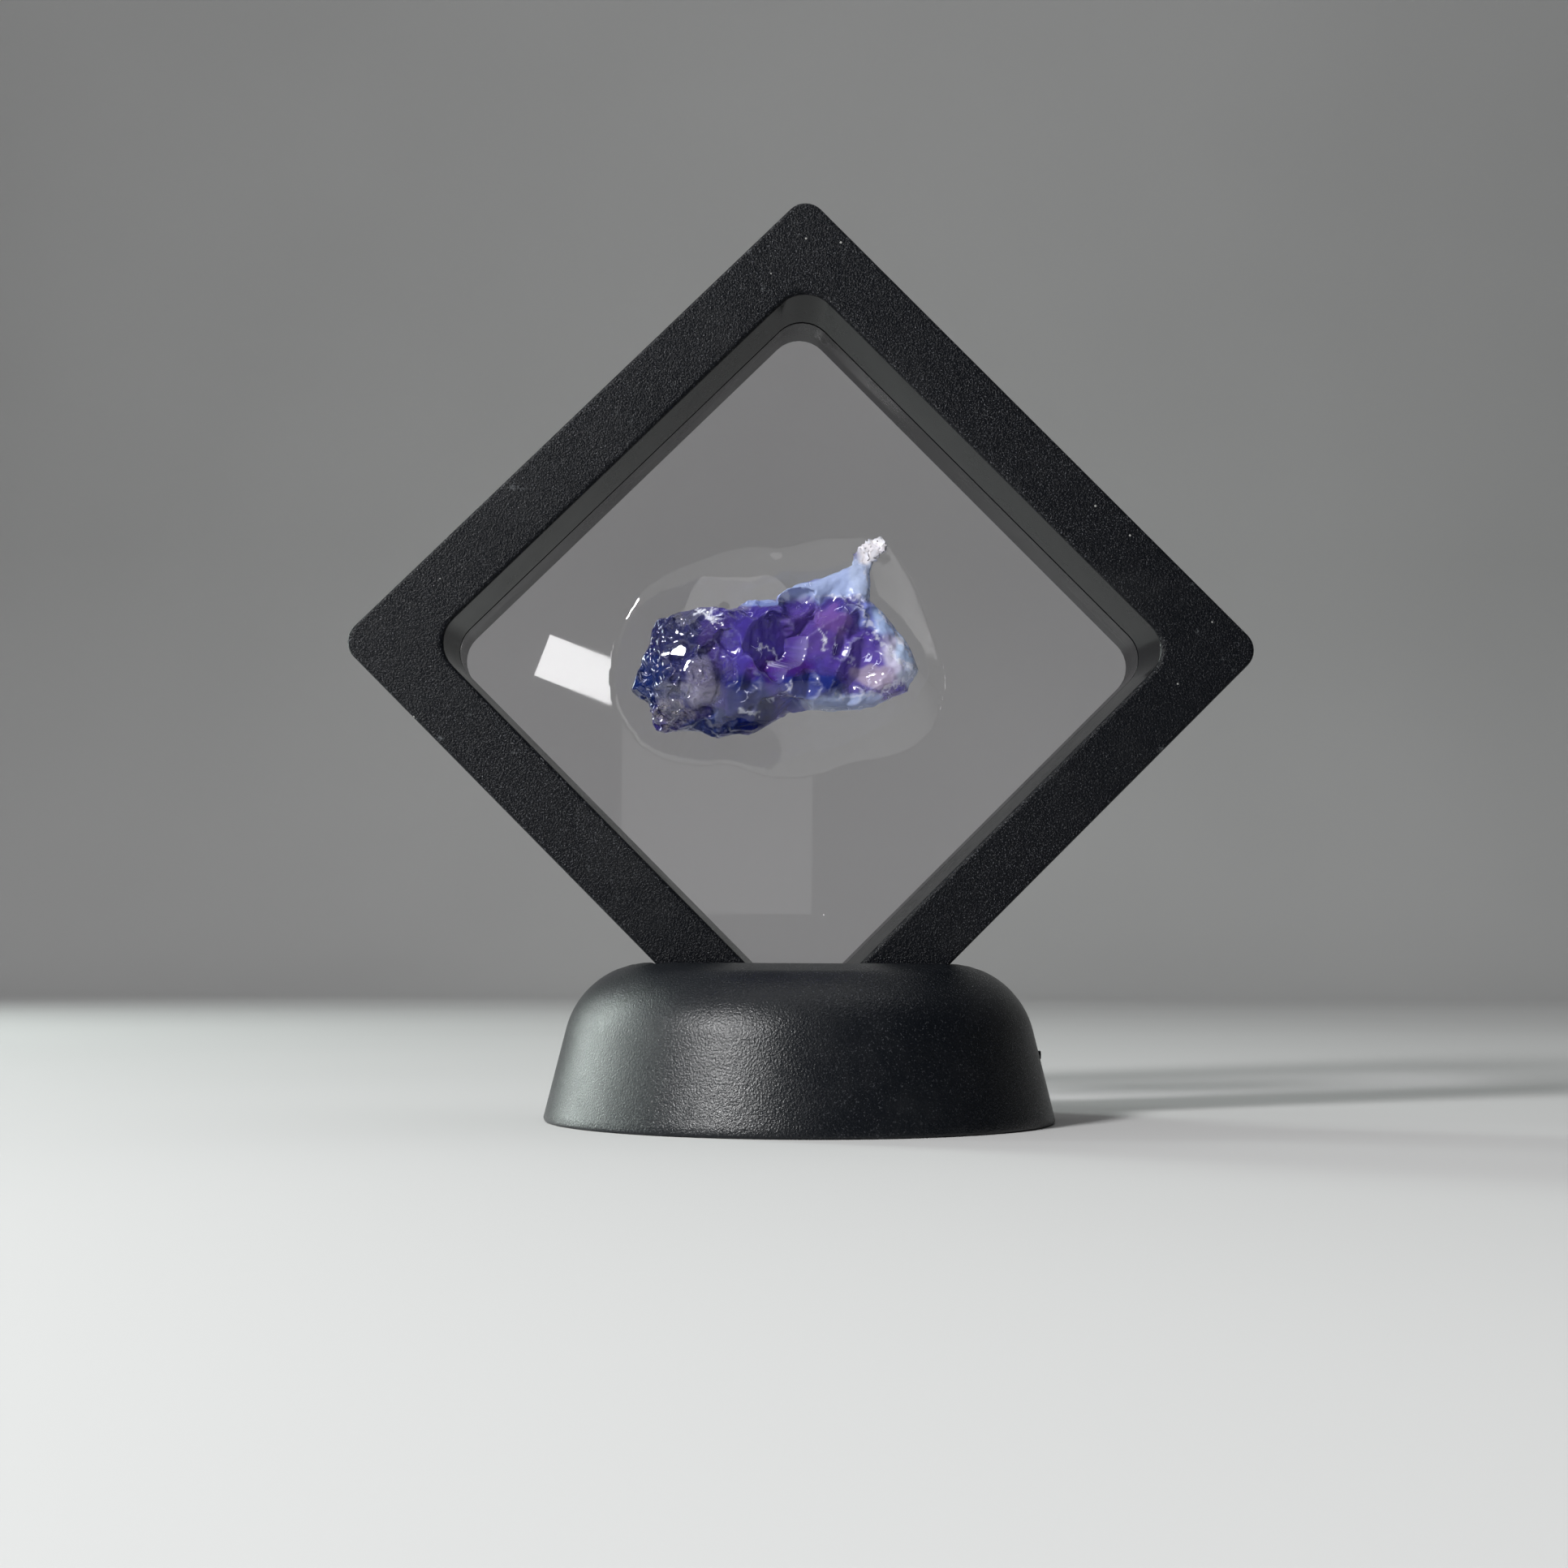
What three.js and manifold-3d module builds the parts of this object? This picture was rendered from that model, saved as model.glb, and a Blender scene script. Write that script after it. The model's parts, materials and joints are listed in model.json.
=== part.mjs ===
import * as THREE from "three";
import Module from "manifold-3d";
import { mergeVertices } from "three/addons/utils/BufferGeometryUtils.js";

// A blue halite crystal held between two clear elastic films in a square two-part frame, which stands
// on one corner in the pocket of a round moulded base.
// Millimetres, +Z up, front towards -Y, origin at the middle of the ring that the base stands on.

// Frame: two moulded channel halves that meet at the middle plane, y = 0.
const FRAME_SIDE = 90;
const FRAME_DEPTH = 20;
const FRAME_CENTRE_Z = 65.3;
const FRAME_CORNER = 3;
const FRAME_EDGE_ROUND = 0.5;
const WINDOW_HALF = 36.3;
const WINDOW_CORNER = 4.6;
const WINDOW_CHAMFER = 0.6;
const WALL_LEAN = 0.8;
const WINDOW_WAIST = WINDOW_HALF - WALL_LEAN;
const WALL = 1.6;
const PARTING_GAP = 0.05;
const FLANGE_DROP = 0.28;
const FLANGE_CLEARANCE = 0.3;
const PEG_RADIUS = 1.4;
const PEG_REACH = 3.2;
const PEG_CLEARANCE = 0.2;
const SOCKET_DEPTH = 4.2;
const BOSS_RADIUS = 2.6;
const PEG_SIDES = 12;

// Films and the adhesive rings that hold them on the flanges round the window.
const FILM_GAP = 0.03;
const FILM_THICKNESS = 0.09;
const BOND_GAP = 0.02;
const BOND_THICKNESS = 0.1;
const BOND_SETBACK = 0.2;
const FILM_HALF = 36.9;
const FILM_CORNER = WINDOW_CORNER + 1;
const FILM_CLEARANCE = 0.5;
const POCKET_REACH = 5.5;
const POCKET_SLOPE = 0.6;
const FILM_OVER_CRYSTAL = [[0.45, 1], [0.78, 0.95], [1, POCKET_SLOPE]];
const FILM_BESIDE_CRYSTAL = [0.35, 0.7, 1];

// Base: a thin shell with leaning sides, a wide round shoulder and a V-shaped pocket for the corner.
const BASE_HEIGHT = 21.8;
const BASE_RADIUS = 35.6;
const BASE_LEAN = THREE.MathUtils.degToRad(13.8);
const SHOULDER_RADIUS = 12;
const SHELL = 2;
const RIM_ROUND = 0.5;
const POCKET_CLEARANCE = 0.35;
const POCKET_FLOOR_Z = 2.5;
const POCKET_BOTTOM_Z = 0.8;
const GATE_HEIGHT = 9.1;
const GATE_LENGTH = 1.4;
const GATE_SUNK = 0.2;
const GATE_RADII = [0.6, 0.7];
const GATE_SIDES = 10;

// Crystal: its outline seen from the front, x and z from the frame's centre, counter-clockwise
// from the pointed right end, with the thin peak at upper right and the blocky left end.
const CRYSTAL_CENTRE = new THREE.Vector2(-3.5, -0.5);
const CRYSTAL_HALF_THICKNESS = 6;
const WEDGE = { from: -5, to: 17, thinner: 0.25 };
const PEAK = { from: 7, to: 14, thinner: 0.55 };
const FACET_STEP = 0.08;
const CRYSTAL_OUTLINE = [
  [17.0, -1.6], [15.4, 1.5], [12.0, 6.5], [9.8, 8.5], [9.2, 13.8], [8.2, 13.7], [6.9, 12.0],
  [-1.0, 9.6], [-3.7, 8.2], [-8.2, 8.0], [-9.5, 6.9], [-16.3, 6.2], [-20.4, 5.0], [-22.5, 0.0],
  [-24.3, -5.0], [-21.6, -7.6], [-21.4, -9.6], [-18.8, -11.4], [-14.2, -11.2], [-12.0, -12.1],
  [-7.8, -11.7], [-4.8, -10.4], [-0.2, -8.0], [7.5, -7.7], [9.8, -7.1], [15.6, -4.6],
].map(([x, z]) => new THREE.Vector2(x, z));

// Each entry is a ring's share of the outline and its share of the half thickness.
const CRYSTAL_CROWN = [[0.42, 0.96], [0.76, 0.84], [0.93, 0.5]];

// How finely curves are divided, and how far cutters run past what they cut.
const ROUND_STEPS = 5;
const SHOULDER_STEPS = 7;
const EDGE_STEPS = 2;
const BASE_STEPS = 40;
const FILM_RAYS = 40;
const WELD = 1e-5;
const PAST = 2;

const wasm = await Module();
wasm.setup();

function solidOf(geometry) {
  geometry.deleteAttribute("normal");
  geometry.deleteAttribute("uv");
  const merged = mergeVertices(geometry, WELD);
  return new wasm.Manifold(new wasm.Mesh({
    numProp: 3,
    vertProperties: merged.attributes.position.array,
    triVerts: new Uint32Array(merged.index.array),
  }));
}

function geometryOf(solid) {
  const mesh = solid.getMesh();
  const geometry = new THREE.BufferGeometry();
  geometry.setAttribute("position", new THREE.BufferAttribute(mesh.vertProperties, 3));
  geometry.setIndex(new THREE.BufferAttribute(mesh.triVerts, 1));
  return geometry;
}

// A square outline with round corners, centred on the origin.
function roundedSquare(half, radius) {
  const shape = new THREE.Shape();
  const inner = half - radius;
  const corners = [[inner, inner], [-inner, inner], [-inner, -inner], [inner, -inner]];
  corners.forEach(([x, y], i) => {
    shape.absarc(x, y, radius, i * Math.PI / 2, (i + 1) * Math.PI / 2);
  });
  return shape;
}

// A prism of the outline standing on the XZ plane, from yLow to yHigh, with both ends' edges
// broken by edgeRound.
function slab(shape, yLow, yHigh, edgeRound = 0) {
  return new THREE.ExtrudeGeometry(shape, {
    depth: yHigh - yLow - 2 * edgeRound,
    curveSegments: ROUND_STEPS,
    bevelEnabled: edgeRound > 0,
    bevelThickness: edgeRound,
    bevelSize: edgeRound,
    bevelOffset: -edgeRound,
    bevelSegments: EDGE_STEPS,
  }).rotateX(Math.PI / 2).translate(0, yHigh - edgeRound, 0);
}

// The same prism, narrowed evenly from halfLow at yLow to halfHigh at yHigh.
function taperedSquare(halfLow, halfHigh, corner, yLow, yHigh) {
  const geometry = slab(roundedSquare(halfLow, corner), yLow, yHigh);
  const position = geometry.attributes.position;
  for (let i = 0; i < position.count; i += 1) {
    const share = (position.getY(i) - yLow) / (yHigh - yLow);
    const scale = 1 + share * (halfHigh / halfLow - 1);
    position.setX(i, position.getX(i) * scale);
    position.setZ(i, position.getZ(i) * scale);
  }
  return geometry;
}

function cylinderAlongY(radius, yLow, yHigh, x, z) {
  return new THREE.CylinderGeometry(radius, radius, yHigh - yLow, PEG_SIDES)
    .translate(x, (yLow + yHigh) / 2, z);
}

// The walls of the window lean in by the same angle all the way through, also past both ends.
function windowCutter(extraHalf, corner, yLow, yHigh) {
  const halfAt = (y) => WINDOW_WAIST - WALL_LEAN * y / (FRAME_DEPTH / 2) + extraHalf;
  return taperedSquare(halfAt(yLow), halfAt(yHigh), corner, yLow, yHigh);
}

// One half of the frame, the front one: face towards -Y, open channel towards the middle plane.
function frameHalf(pegged) {
  const face = -FRAME_DEPTH / 2;
  const flangeHalf = WINDOW_WAIST + WALL;
  const wallCorner = WINDOW_CORNER + WALL;
  let half = solidOf(slab(roundedSquare(FRAME_SIDE / 2, FRAME_CORNER), face, PAST, FRAME_EDGE_ROUND));
  const cutters = [
    windowCutter(0, WINDOW_CORNER, face - 1, PAST),
    taperedSquare(WINDOW_HALF + 2 * WINDOW_CHAMFER, WINDOW_HALF - WINDOW_CHAMFER, WINDOW_CORNER,
      face - WINDOW_CHAMFER, face + 2 * WINDOW_CHAMFER),
    new THREE.BoxGeometry(2 * FRAME_SIDE, 2 * PAST, 2 * FRAME_SIDE).translate(0, PAST - PARTING_GAP, 0),
    slab(roundedSquare(flangeHalf + FLANGE_CLEARANCE, wallCorner), -FLANGE_DROP, PAST),
  ];
  for (const cutter of cutters) {
    half = half.subtract(solidOf(cutter));
  }
  const channelOutside = roundedSquare(FRAME_SIDE / 2 - WALL, FRAME_CORNER - WALL / 2);
  const channelInside = windowCutter(WALL, wallCorner, face - 1, PAST + 1);
  const channel = solidOf(slab(channelOutside, face + WALL, PAST)).subtract(solidOf(channelInside));
  half = half.subtract(channel);

  const reach = (FRAME_SIDE / 2 - WALL + flangeHalf) / 2;
  for (const [x, z] of [[reach, reach], [-reach, reach], [-reach, -reach], [reach, -reach]]) {
    half = half.add(solidOf(cylinderAlongY(BOSS_RADIUS, face + WALL / 2, -FLANGE_DROP, x, z)));
    if (pegged) {
      half = half.add(solidOf(cylinderAlongY(PEG_RADIUS, face + WALL / 2, PEG_REACH, x, z)));
    } else {
      const bore = PEG_RADIUS + PEG_CLEARANCE;
      half = half.subtract(solidOf(cylinderAlongY(bore, -SOCKET_DEPTH, PAST, x, z)));
    }
  }
  return geometryOf(half);
}

// The adhesive ring between a film and the flange round the window, on the front half.
function filmBond() {
  const inner = roundedSquare(WINDOW_WAIST + BOND_SETBACK, WINDOW_CORNER);
  const yHigh = -FILM_GAP - FILM_THICKNESS - BOND_GAP;
  const shape = roundedSquare(FILM_HALF, FILM_CORNER);
  shape.holes.push(new THREE.Path(inner.getPoints(ROUND_STEPS)));
  return slab(shape, yHigh - BOND_THICKNESS, yHigh);
}

// Distance from a point, along an angle, to a closed outline that the point can see all of.
function reachOf(outline, centre, angle) {
  const ray = new THREE.Vector2(Math.cos(angle), Math.sin(angle));
  let reach = 0;
  outline.forEach((start, i) => {
    const toStart = start.clone().sub(centre);
    const edge = outline[(i + 1) % outline.length].clone().sub(start);
    const across = ray.cross(edge);
    const along = toStart.cross(edge) / across;
    const share = toStart.cross(ray) / across;
    if (along > 0 && share > -WELD && share < 1 + WELD) {
      reach = Math.max(reach, along);
    }
  });
  return reach;
}

// A closed skin over rings of points, from a first pole on the front side to a last one behind.
function loft(firstPole, rings, lastPole) {
  const count = rings[0].length;
  const points = [firstPole, ...rings.flat(), lastPole];
  const last = points.length - 1;
  const index = [];
  for (let i = 0; i < count; i += 1) {
    const next = (i + 1) % count;
    index.push(0, 1 + i, 1 + next);
    for (let k = 0; k + 1 < rings.length; k += 1) {
      const near = 1 + k * count;
      const far = near + count;
      index.push(near + i, far + i, far + next, near + i, far + next, near + next);
    }
    index.push(last, last - count + next, last - count + i);
  }
  const geometry = new THREE.BufferGeometry().setFromPoints(points);
  geometry.setIndex(index);
  return geometry;
}

// Half the crystal's thickness under a point of its outline: thick and blocky on the left, thinner
// towards the wedge on the right and thinnest at the peak.
function halfThickness(x, z) {
  const towardsWedge = WEDGE.thinner * THREE.MathUtils.smoothstep(x, WEDGE.from, WEDGE.to);
  const towardsPeak = PEAK.thinner * THREE.MathUtils.smoothstep(z, PEAK.from, PEAK.to);
  return CRYSTAL_HALF_THICKNESS * (1 - towardsWedge) * (1 - towardsPeak);
}

function crystal() {
  const ringAt = (share, lift) => CRYSTAL_OUTLINE.map((corner, i) => {
    const x = CRYSTAL_CENTRE.x + share * (corner.x - CRYSTAL_CENTRE.x);
    const z = CRYSTAL_CENTRE.y + share * (corner.y - CRYSTAL_CENTRE.y);
    const facet = 1 - FACET_STEP * (i % 3);
    return new THREE.Vector3(x, lift * facet * halfThickness(corner.x, corner.y), z);
  });
  const front = CRYSTAL_CROWN.map(([share, lift]) => ringAt(share, -lift));
  const back = CRYSTAL_CROWN.map(([share, lift]) => ringAt(share, lift)).reverse();
  const pole = (y) => new THREE.Vector3(CRYSTAL_CENTRE.x, y, CRYSTAL_CENTRE.y);
  return loft(pole(-CRYSTAL_HALF_THICKNESS), [...front, ringAt(1, 0), ...back],
    pole(CRYSTAL_HALF_THICKNESS));
}

// A film: flat against the other one round the window, lifted into a pocket over the crystal.
// Side is -1 for the front film and 1 for the rear one.
function film(side) {
  const edge = roundedSquare(FILM_HALF, FILM_CORNER).getPoints(ROUND_STEPS)
    .map((p) => p.rotateAround(new THREE.Vector2(), -Math.PI / 4));
  const rays = Array.from({ length: FILM_RAYS }, (_, i) => {
    const angle = i * 2 * Math.PI / FILM_RAYS;
    const crystalReach = reachOf(CRYSTAL_OUTLINE, CRYSTAL_CENTRE, angle);
    const x = CRYSTAL_CENTRE.x + crystalReach * Math.cos(angle);
    const z = CRYSTAL_CENTRE.y + crystalReach * Math.sin(angle);
    return { angle, crystalReach, edgeReach: reachOf(edge, CRYSTAL_CENTRE, angle),
      thick: halfThickness(x, z) };
  });
  const ringAt = (radiusOf, heightOf, shift) => rays.map((ray) => {
    const radius = radiusOf(ray);
    const height = FILM_GAP + heightOf(ray) + shift;
    return new THREE.Vector3(CRYSTAL_CENTRE.x + radius * Math.cos(ray.angle), side * height,
      CRYSTAL_CENTRE.y + radius * Math.sin(ray.angle));
  });
  const face = (shift) => [
    ...FILM_OVER_CRYSTAL.map(([share, lift]) => ringAt((ray) => share * ray.crystalReach,
      (ray) => lift * ray.thick + FILM_CLEARANCE, shift)),
    ...FILM_BESIDE_CRYSTAL.map((share) => ringAt((ray) => ray.crystalReach + share * POCKET_REACH,
      (ray) => (1 - share) ** 2 * (POCKET_SLOPE * ray.thick + FILM_CLEARANCE), shift)),
    ringAt((ray) => ray.edgeReach, () => 0, shift),
  ];
  const pole = (shift) => new THREE.Vector3(CRYSTAL_CENTRE.x,
    side * (FILM_GAP + CRYSTAL_HALF_THICKNESS + FILM_CLEARANCE + shift), CRYSTAL_CENTRE.y);
  const [first, second] = side < 0 ? [FILM_THICKNESS, 0] : [0, FILM_THICKNESS];
  return loft(pole(first), [...face(first), ...face(second).reverse()], pole(second));
}

// The base's outline from the top's middle down to its rim, drawn in by inset.
function baseSide(inset) {
  const lean = BASE_LEAN;
  const turn = Math.PI / 2 - lean;
  const reach = BASE_RADIUS * Math.cos(lean) - SHOULDER_RADIUS;
  const centreZ = BASE_HEIGHT - SHOULDER_RADIUS;
  const centreX = (reach - centreZ * Math.sin(lean)) / Math.cos(lean);
  const radius = SHOULDER_RADIUS - inset;
  const points = [new THREE.Vector2(0, centreZ + radius)];
  for (let i = 0; i <= SHOULDER_STEPS; i += 1) {
    const angle = Math.PI / 2 - turn * i / SHOULDER_STEPS;
    points.push(new THREE.Vector2(centreX + radius * Math.cos(angle), centreZ + radius * Math.sin(angle)));
  }
  points.push(new THREE.Vector2(BASE_RADIUS - inset / Math.cos(lean), 0));
  return points;
}

// The V that takes the frame's corner: its sides stand off the frame's lower sides by gap.
function cornerV(gap, floorZ, topZ) {
  const tipZ = FRAME_CENTRE_Z - FRAME_SIDE / Math.SQRT2 - gap * Math.SQRT2;
  const shape = new THREE.Shape();
  shape.moveTo(floorZ - tipZ, floorZ);
  shape.lineTo(topZ - tipZ, topZ);
  shape.lineTo(tipZ - topZ, topZ);
  shape.lineTo(tipZ - floorZ, floorZ);
  return shape;
}

function base() {
  const slope = Math.tan(BASE_LEAN);
  const outside = baseSide(0);
  const rim = outside.pop();
  outside.push(new THREE.Vector2(rim.x - RIM_ROUND * slope, RIM_ROUND));
  outside.push(new THREE.Vector2(rim.x - RIM_ROUND, 0));
  const profile = [...baseSide(SHELL), ...outside.reverse()];
  let shell = solidOf(new THREE.LatheGeometry(profile, BASE_STEPS).rotateX(Math.PI / 2));

  const pocketDepth = FRAME_DEPTH / 2 + POCKET_CLEARANCE;
  const walls = slab(cornerV(POCKET_CLEARANCE + SHELL, POCKET_BOTTOM_Z, BASE_HEIGHT - SHELL / 2),
    -pocketDepth - SHELL, pocketDepth + SHELL);
  const pocket = slab(cornerV(POCKET_CLEARANCE, POCKET_FLOOR_Z, BASE_HEIGHT + PAST),
    -pocketDepth, pocketDepth);
  const gateX = BASE_RADIUS - GATE_HEIGHT * slope;
  const gate = new THREE.CylinderGeometry(...GATE_RADII, GATE_LENGTH, GATE_SIDES).rotateZ(-Math.PI / 2)
    .translate(gateX - GATE_SUNK, 0, GATE_HEIGHT);
  shell = shell.add(solidOf(walls)).subtract(solidOf(pocket)).add(solidOf(gate));
  return geometryOf(shell);
}

const blackPlastic = new THREE.MeshStandardMaterial({ color: 0x17181a, roughness: 0.55 });
const clearFilm = new THREE.MeshStandardMaterial({
  color: 0xf4f2f6, roughness: 0.05, transparent: true, opacity: 0.2,
});
const adhesive = new THREE.MeshStandardMaterial({ color: 0x0d0d0f, roughness: 0.7 });
const blueHalite = new THREE.MeshStandardMaterial({
  color: 0x4a4aa8, roughness: 0.15, transparent: true, opacity: 0.85,
});

function named(name, geometry, material) {
  const mesh = new THREE.Mesh(geometry, material);
  mesh.name = name;
  return mesh;
}

const rearHalf = named("rear_frame_half", frameHalf(false), blackPlastic.clone());
rearHalf.rotation.z = Math.PI;
const rearBond = named("rear_film_bond", filmBond(), adhesive.clone());
rearBond.rotation.z = Math.PI;

const turned = new THREE.Group();
turned.rotation.y = Math.PI / 4;
turned.add(
  named("front_frame_half", frameHalf(true), blackPlastic.clone()),
  rearHalf,
  named("front_film_bond", filmBond(), adhesive.clone()),
  rearBond,
);

const frame = new THREE.Group();
frame.position.z = FRAME_CENTRE_Z;
frame.add(
  turned,
  named("front_film", film(-1), clearFilm.clone()),
  named("rear_film", film(1), clearFilm.clone()),
  named("halite_crystal", crystal(), blueHalite),
);

const stand = new THREE.Group();
stand.add(named("display_base", base(), blackPlastic.clone()), frame);

export default stand;
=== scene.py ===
# %% [markdown]
# # Blue halite crystal in a floating frame
#
# The object is a natural halite crystal held between two clear elastic films. The films sit in the two
# halves of a square black frame, which stands on one corner in the pocket of a round moulded base.
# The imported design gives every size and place; this file gives every piece its fine shape and finish.

# %% Load the frame
import json
import math

import bmesh
import bpy
import numpy as np
from mathutils import Matrix, Quaternion, Vector, noise

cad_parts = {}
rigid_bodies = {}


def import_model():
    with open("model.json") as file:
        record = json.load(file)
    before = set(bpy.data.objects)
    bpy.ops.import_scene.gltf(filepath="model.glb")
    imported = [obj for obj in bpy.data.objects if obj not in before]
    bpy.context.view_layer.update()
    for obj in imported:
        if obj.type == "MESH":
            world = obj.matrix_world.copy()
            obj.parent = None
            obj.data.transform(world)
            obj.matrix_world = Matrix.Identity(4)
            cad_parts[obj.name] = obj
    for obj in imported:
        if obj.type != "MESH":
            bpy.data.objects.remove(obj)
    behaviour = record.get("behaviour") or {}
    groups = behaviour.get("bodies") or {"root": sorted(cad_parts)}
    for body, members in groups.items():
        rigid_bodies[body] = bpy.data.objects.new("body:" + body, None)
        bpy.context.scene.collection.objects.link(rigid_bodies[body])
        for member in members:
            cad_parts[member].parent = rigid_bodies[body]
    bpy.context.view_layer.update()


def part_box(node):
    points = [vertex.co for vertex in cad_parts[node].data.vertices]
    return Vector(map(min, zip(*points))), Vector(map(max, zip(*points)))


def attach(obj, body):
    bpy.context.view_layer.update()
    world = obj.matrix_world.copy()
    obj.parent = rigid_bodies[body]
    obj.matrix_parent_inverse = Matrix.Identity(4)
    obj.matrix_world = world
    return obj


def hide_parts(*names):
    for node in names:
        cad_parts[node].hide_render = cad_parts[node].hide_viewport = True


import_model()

MM = 0.001
ROOT2 = math.sqrt(2)

# %% [markdown]
# ## Sizes
#
# The frame's half side follows from the box of its front half, which stands on a rounded corner. The
# other sizes are those of the moulded parts: face and wall widths, corner rounds and edge rounds.

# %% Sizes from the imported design
FRAME_CORNER = 3 * MM
front_low, front_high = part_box("front_frame_half")
CENTRE = Vector((0, 0, (front_low.z + front_high.z) / 2))
FACE_Y = front_low.y
FRAME_HALF = ((front_high.z - front_low.z) / 2 + FRAME_CORNER * (ROOT2 - 1)) / ROOT2
WINDOW_HALF = 36.3 * MM
WINDOW_CORNER = 4.6 * MM
WALL_LEAN = 0.9 * MM
WINDOW_WAIST = WINDOW_HALF - WALL_LEAN
WALL = 1.6 * MM
PARTING_GAP = 0.05 * MM
FLANGE_DROP = 0.28 * MM
FILM_GAP = 0.03 * MM
FILM_THICKNESS = 0.09 * MM
BOND_THICKNESS = 0.1 * MM
BASE_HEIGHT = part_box("display_base")[1].z
BASE_LEAN = math.radians(13.8)
RIM_ROUND = 0.5 * MM
BASE_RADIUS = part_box("display_base")[1].y + RIM_ROUND * math.tan(BASE_LEAN)
print(f"frame side {2 * FRAME_HALF / MM:.1f} mm, its centre {CENTRE.z / MM:.1f} mm up")
print(f"base radius {BASE_RADIUS / MM:.1f} mm, height {BASE_HEIGHT / MM:.1f} mm")

# %% [markdown]
# ## Camera
#
# The stand is seen from just above the level of the base, a little left of the middle, looking
# slightly up. The lens and place are those that give the frame's four corners their perspective.

# %% Camera
camera = bpy.data.objects.new("camera", bpy.data.cameras.new("camera"))
bpy.context.collection.objects.link(camera)
camera.data.lens = 50.98
camera.data.clip_start = 0.01
camera.data.clip_end = 20
camera.location = Vector((-13.5, -312.2, 21.8)) * MM
aim_yaw, aim_pitch, aim_roll = (math.radians(a) for a in (2.05, 4.61, 0.27))
aim = Vector((math.sin(aim_yaw) * math.cos(aim_pitch), math.cos(aim_yaw) * math.cos(aim_pitch),
              math.sin(aim_pitch)))
camera.rotation_mode = "QUATERNION"
camera.rotation_quaternion = aim.to_track_quat("-Z", "Y") @ Quaternion((0, 0, 1), aim_roll)
bpy.context.scene.camera = camera
bpy.context.scene.view_settings.view_transform = "Standard"

# %% [markdown]
# ## Helpers for pieces
#
# Every piece becomes one mesh object at the origin, with its place in its mesh. A moulded part is a
# closed skin over a chain of loops, so one helper bridges each loop to the next.

# %% Piece and skin
WELD = 0.001 * MM


def piece(name, bm, body, replaces, materials, sharp=30):
    """Turns a bmesh into a finished piece that rides on a body, its faces pointing outwards."""
    bmesh.ops.recalc_face_normals(bm, faces=bm.faces)
    closed = all(edge.is_manifold for edge in bm.edges)
    if closed and bm.calc_volume(signed=True) < 0:
        bmesh.ops.reverse_faces(bm, faces=bm.faces)
    for face in bm.faces:
        face.smooth = True
    mesh = bpy.data.meshes.new(name)
    bm.to_mesh(mesh)
    bm.free()
    mesh.set_sharp_from_angle(angle=math.radians(sharp))
    made = bpy.data.objects.new(name, mesh)
    bpy.context.collection.objects.link(made)
    for material in materials:
        mesh.materials.append(material)
    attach(made, body)
    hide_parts(replaces)
    print(f"{name}: {len(mesh.polygons)} faces")
    return made


def weighted(made):
    """Keeps large flat faces flat beside their small edge rounds."""
    modifier = made.modifiers.new("flat faces", "WEIGHTED_NORMAL")
    modifier.keep_sharp = True


def skin(bm, count, rings, closed=False):
    """Extrudes one ring through a list of rings. A ring is a rule that gives each column its point."""
    column = bm.verts.layers.int.get("column") or bm.verts.layers.int.new("column")
    known = set(bm.verts)
    first = bmesh.ops.create_circle(bm, cap_ends=not closed, radius=1, segments=count)["verts"]
    edges = list({edge for vert in first for edge in vert.link_edges})
    for index, vert in enumerate(first):
        vert[column] = index
        vert.co = rings[0](index)
    chains = [edges]
    for ring in rings[1:] + rings[:1] * closed:
        made = bmesh.ops.extrude_edge_only(bm, edges=edges)["geom"]
        for vert in (item for item in made if isinstance(item, bmesh.types.BMVert)):
            vert.co = ring(vert[column])
        edges = [item for item in made if isinstance(item, bmesh.types.BMEdge) and item.is_boundary]
        chains.append(edges)
    if closed:
        new = [vert for vert in bm.verts if vert not in known]
        bmesh.ops.remove_doubles(bm, verts=new, dist=WELD)
    else:
        bmesh.ops.holes_fill(bm, edges=edges)
    return chains


# %% Frame loops
CORNER_STEPS = 8
DIAMOND_COLUMNS = 4 * (CORNER_STEPS + 1)


def diamond(half, corner, y):
    """A ring rule: a square with round corners, standing on one corner round the frame's centre."""
    def place(index):
        side, step = divmod(index, CORNER_STEPS + 1)
        middle = math.radians(90 * side)
        turn = math.radians(90 * (side - 0.5 + step / CORNER_STEPS))
        reach = (half - corner) * ROOT2
        return Vector((reach * math.cos(middle) + corner * math.cos(turn), y,
                       CENTRE.z + reach * math.sin(middle) + corner * math.sin(turn)))
    return place


def rounded_section(rows, steps=4):
    """Rounds the corners of a closed section. A row is half, corner, y and the corner's round."""
    places = []
    for index, (*point, radius) in enumerate(rows):
        point = Vector(point)
        if not radius:
            places.append(point)
            continue
        before = Vector(rows[index - 1][:3]) - point
        after = Vector(rows[(index + 1) % len(rows)][:3]) - point
        start = point + before.normalized() * radius
        end = point + after.normalized() * radius
        for share in (step / steps for step in range(steps + 1)):
            places.append(start.lerp(point, share).lerp(point.lerp(end, share), share))
    return places


print(DIAMOND_COLUMNS, "columns round the frame")

# %% [markdown]
# ## Black plastic
#
# Base and frame are black ABS moulded in spark-eroded steel, which leaves a fine grain that glitters
# in a raking light. Handling adds pale dust specks, scuffs and soft smudges. A fine noise gives the
# grain as bump. The peaks of a finer noise, gathered in patches, are made shinier and are also painted
# into the colour as pale specks, a painted glint. A sparse cell pattern gives the dust specks, and
# broad noises place the scuffs and move the roughness for smudges.

# %% Node helpers


def material_of(name):
    """A new node material with only its output and shader."""
    made = bpy.data.materials.new(name)
    made.use_nodes = True
    tree = made.node_tree
    return made, tree, tree.nodes["Principled BSDF"]


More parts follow.
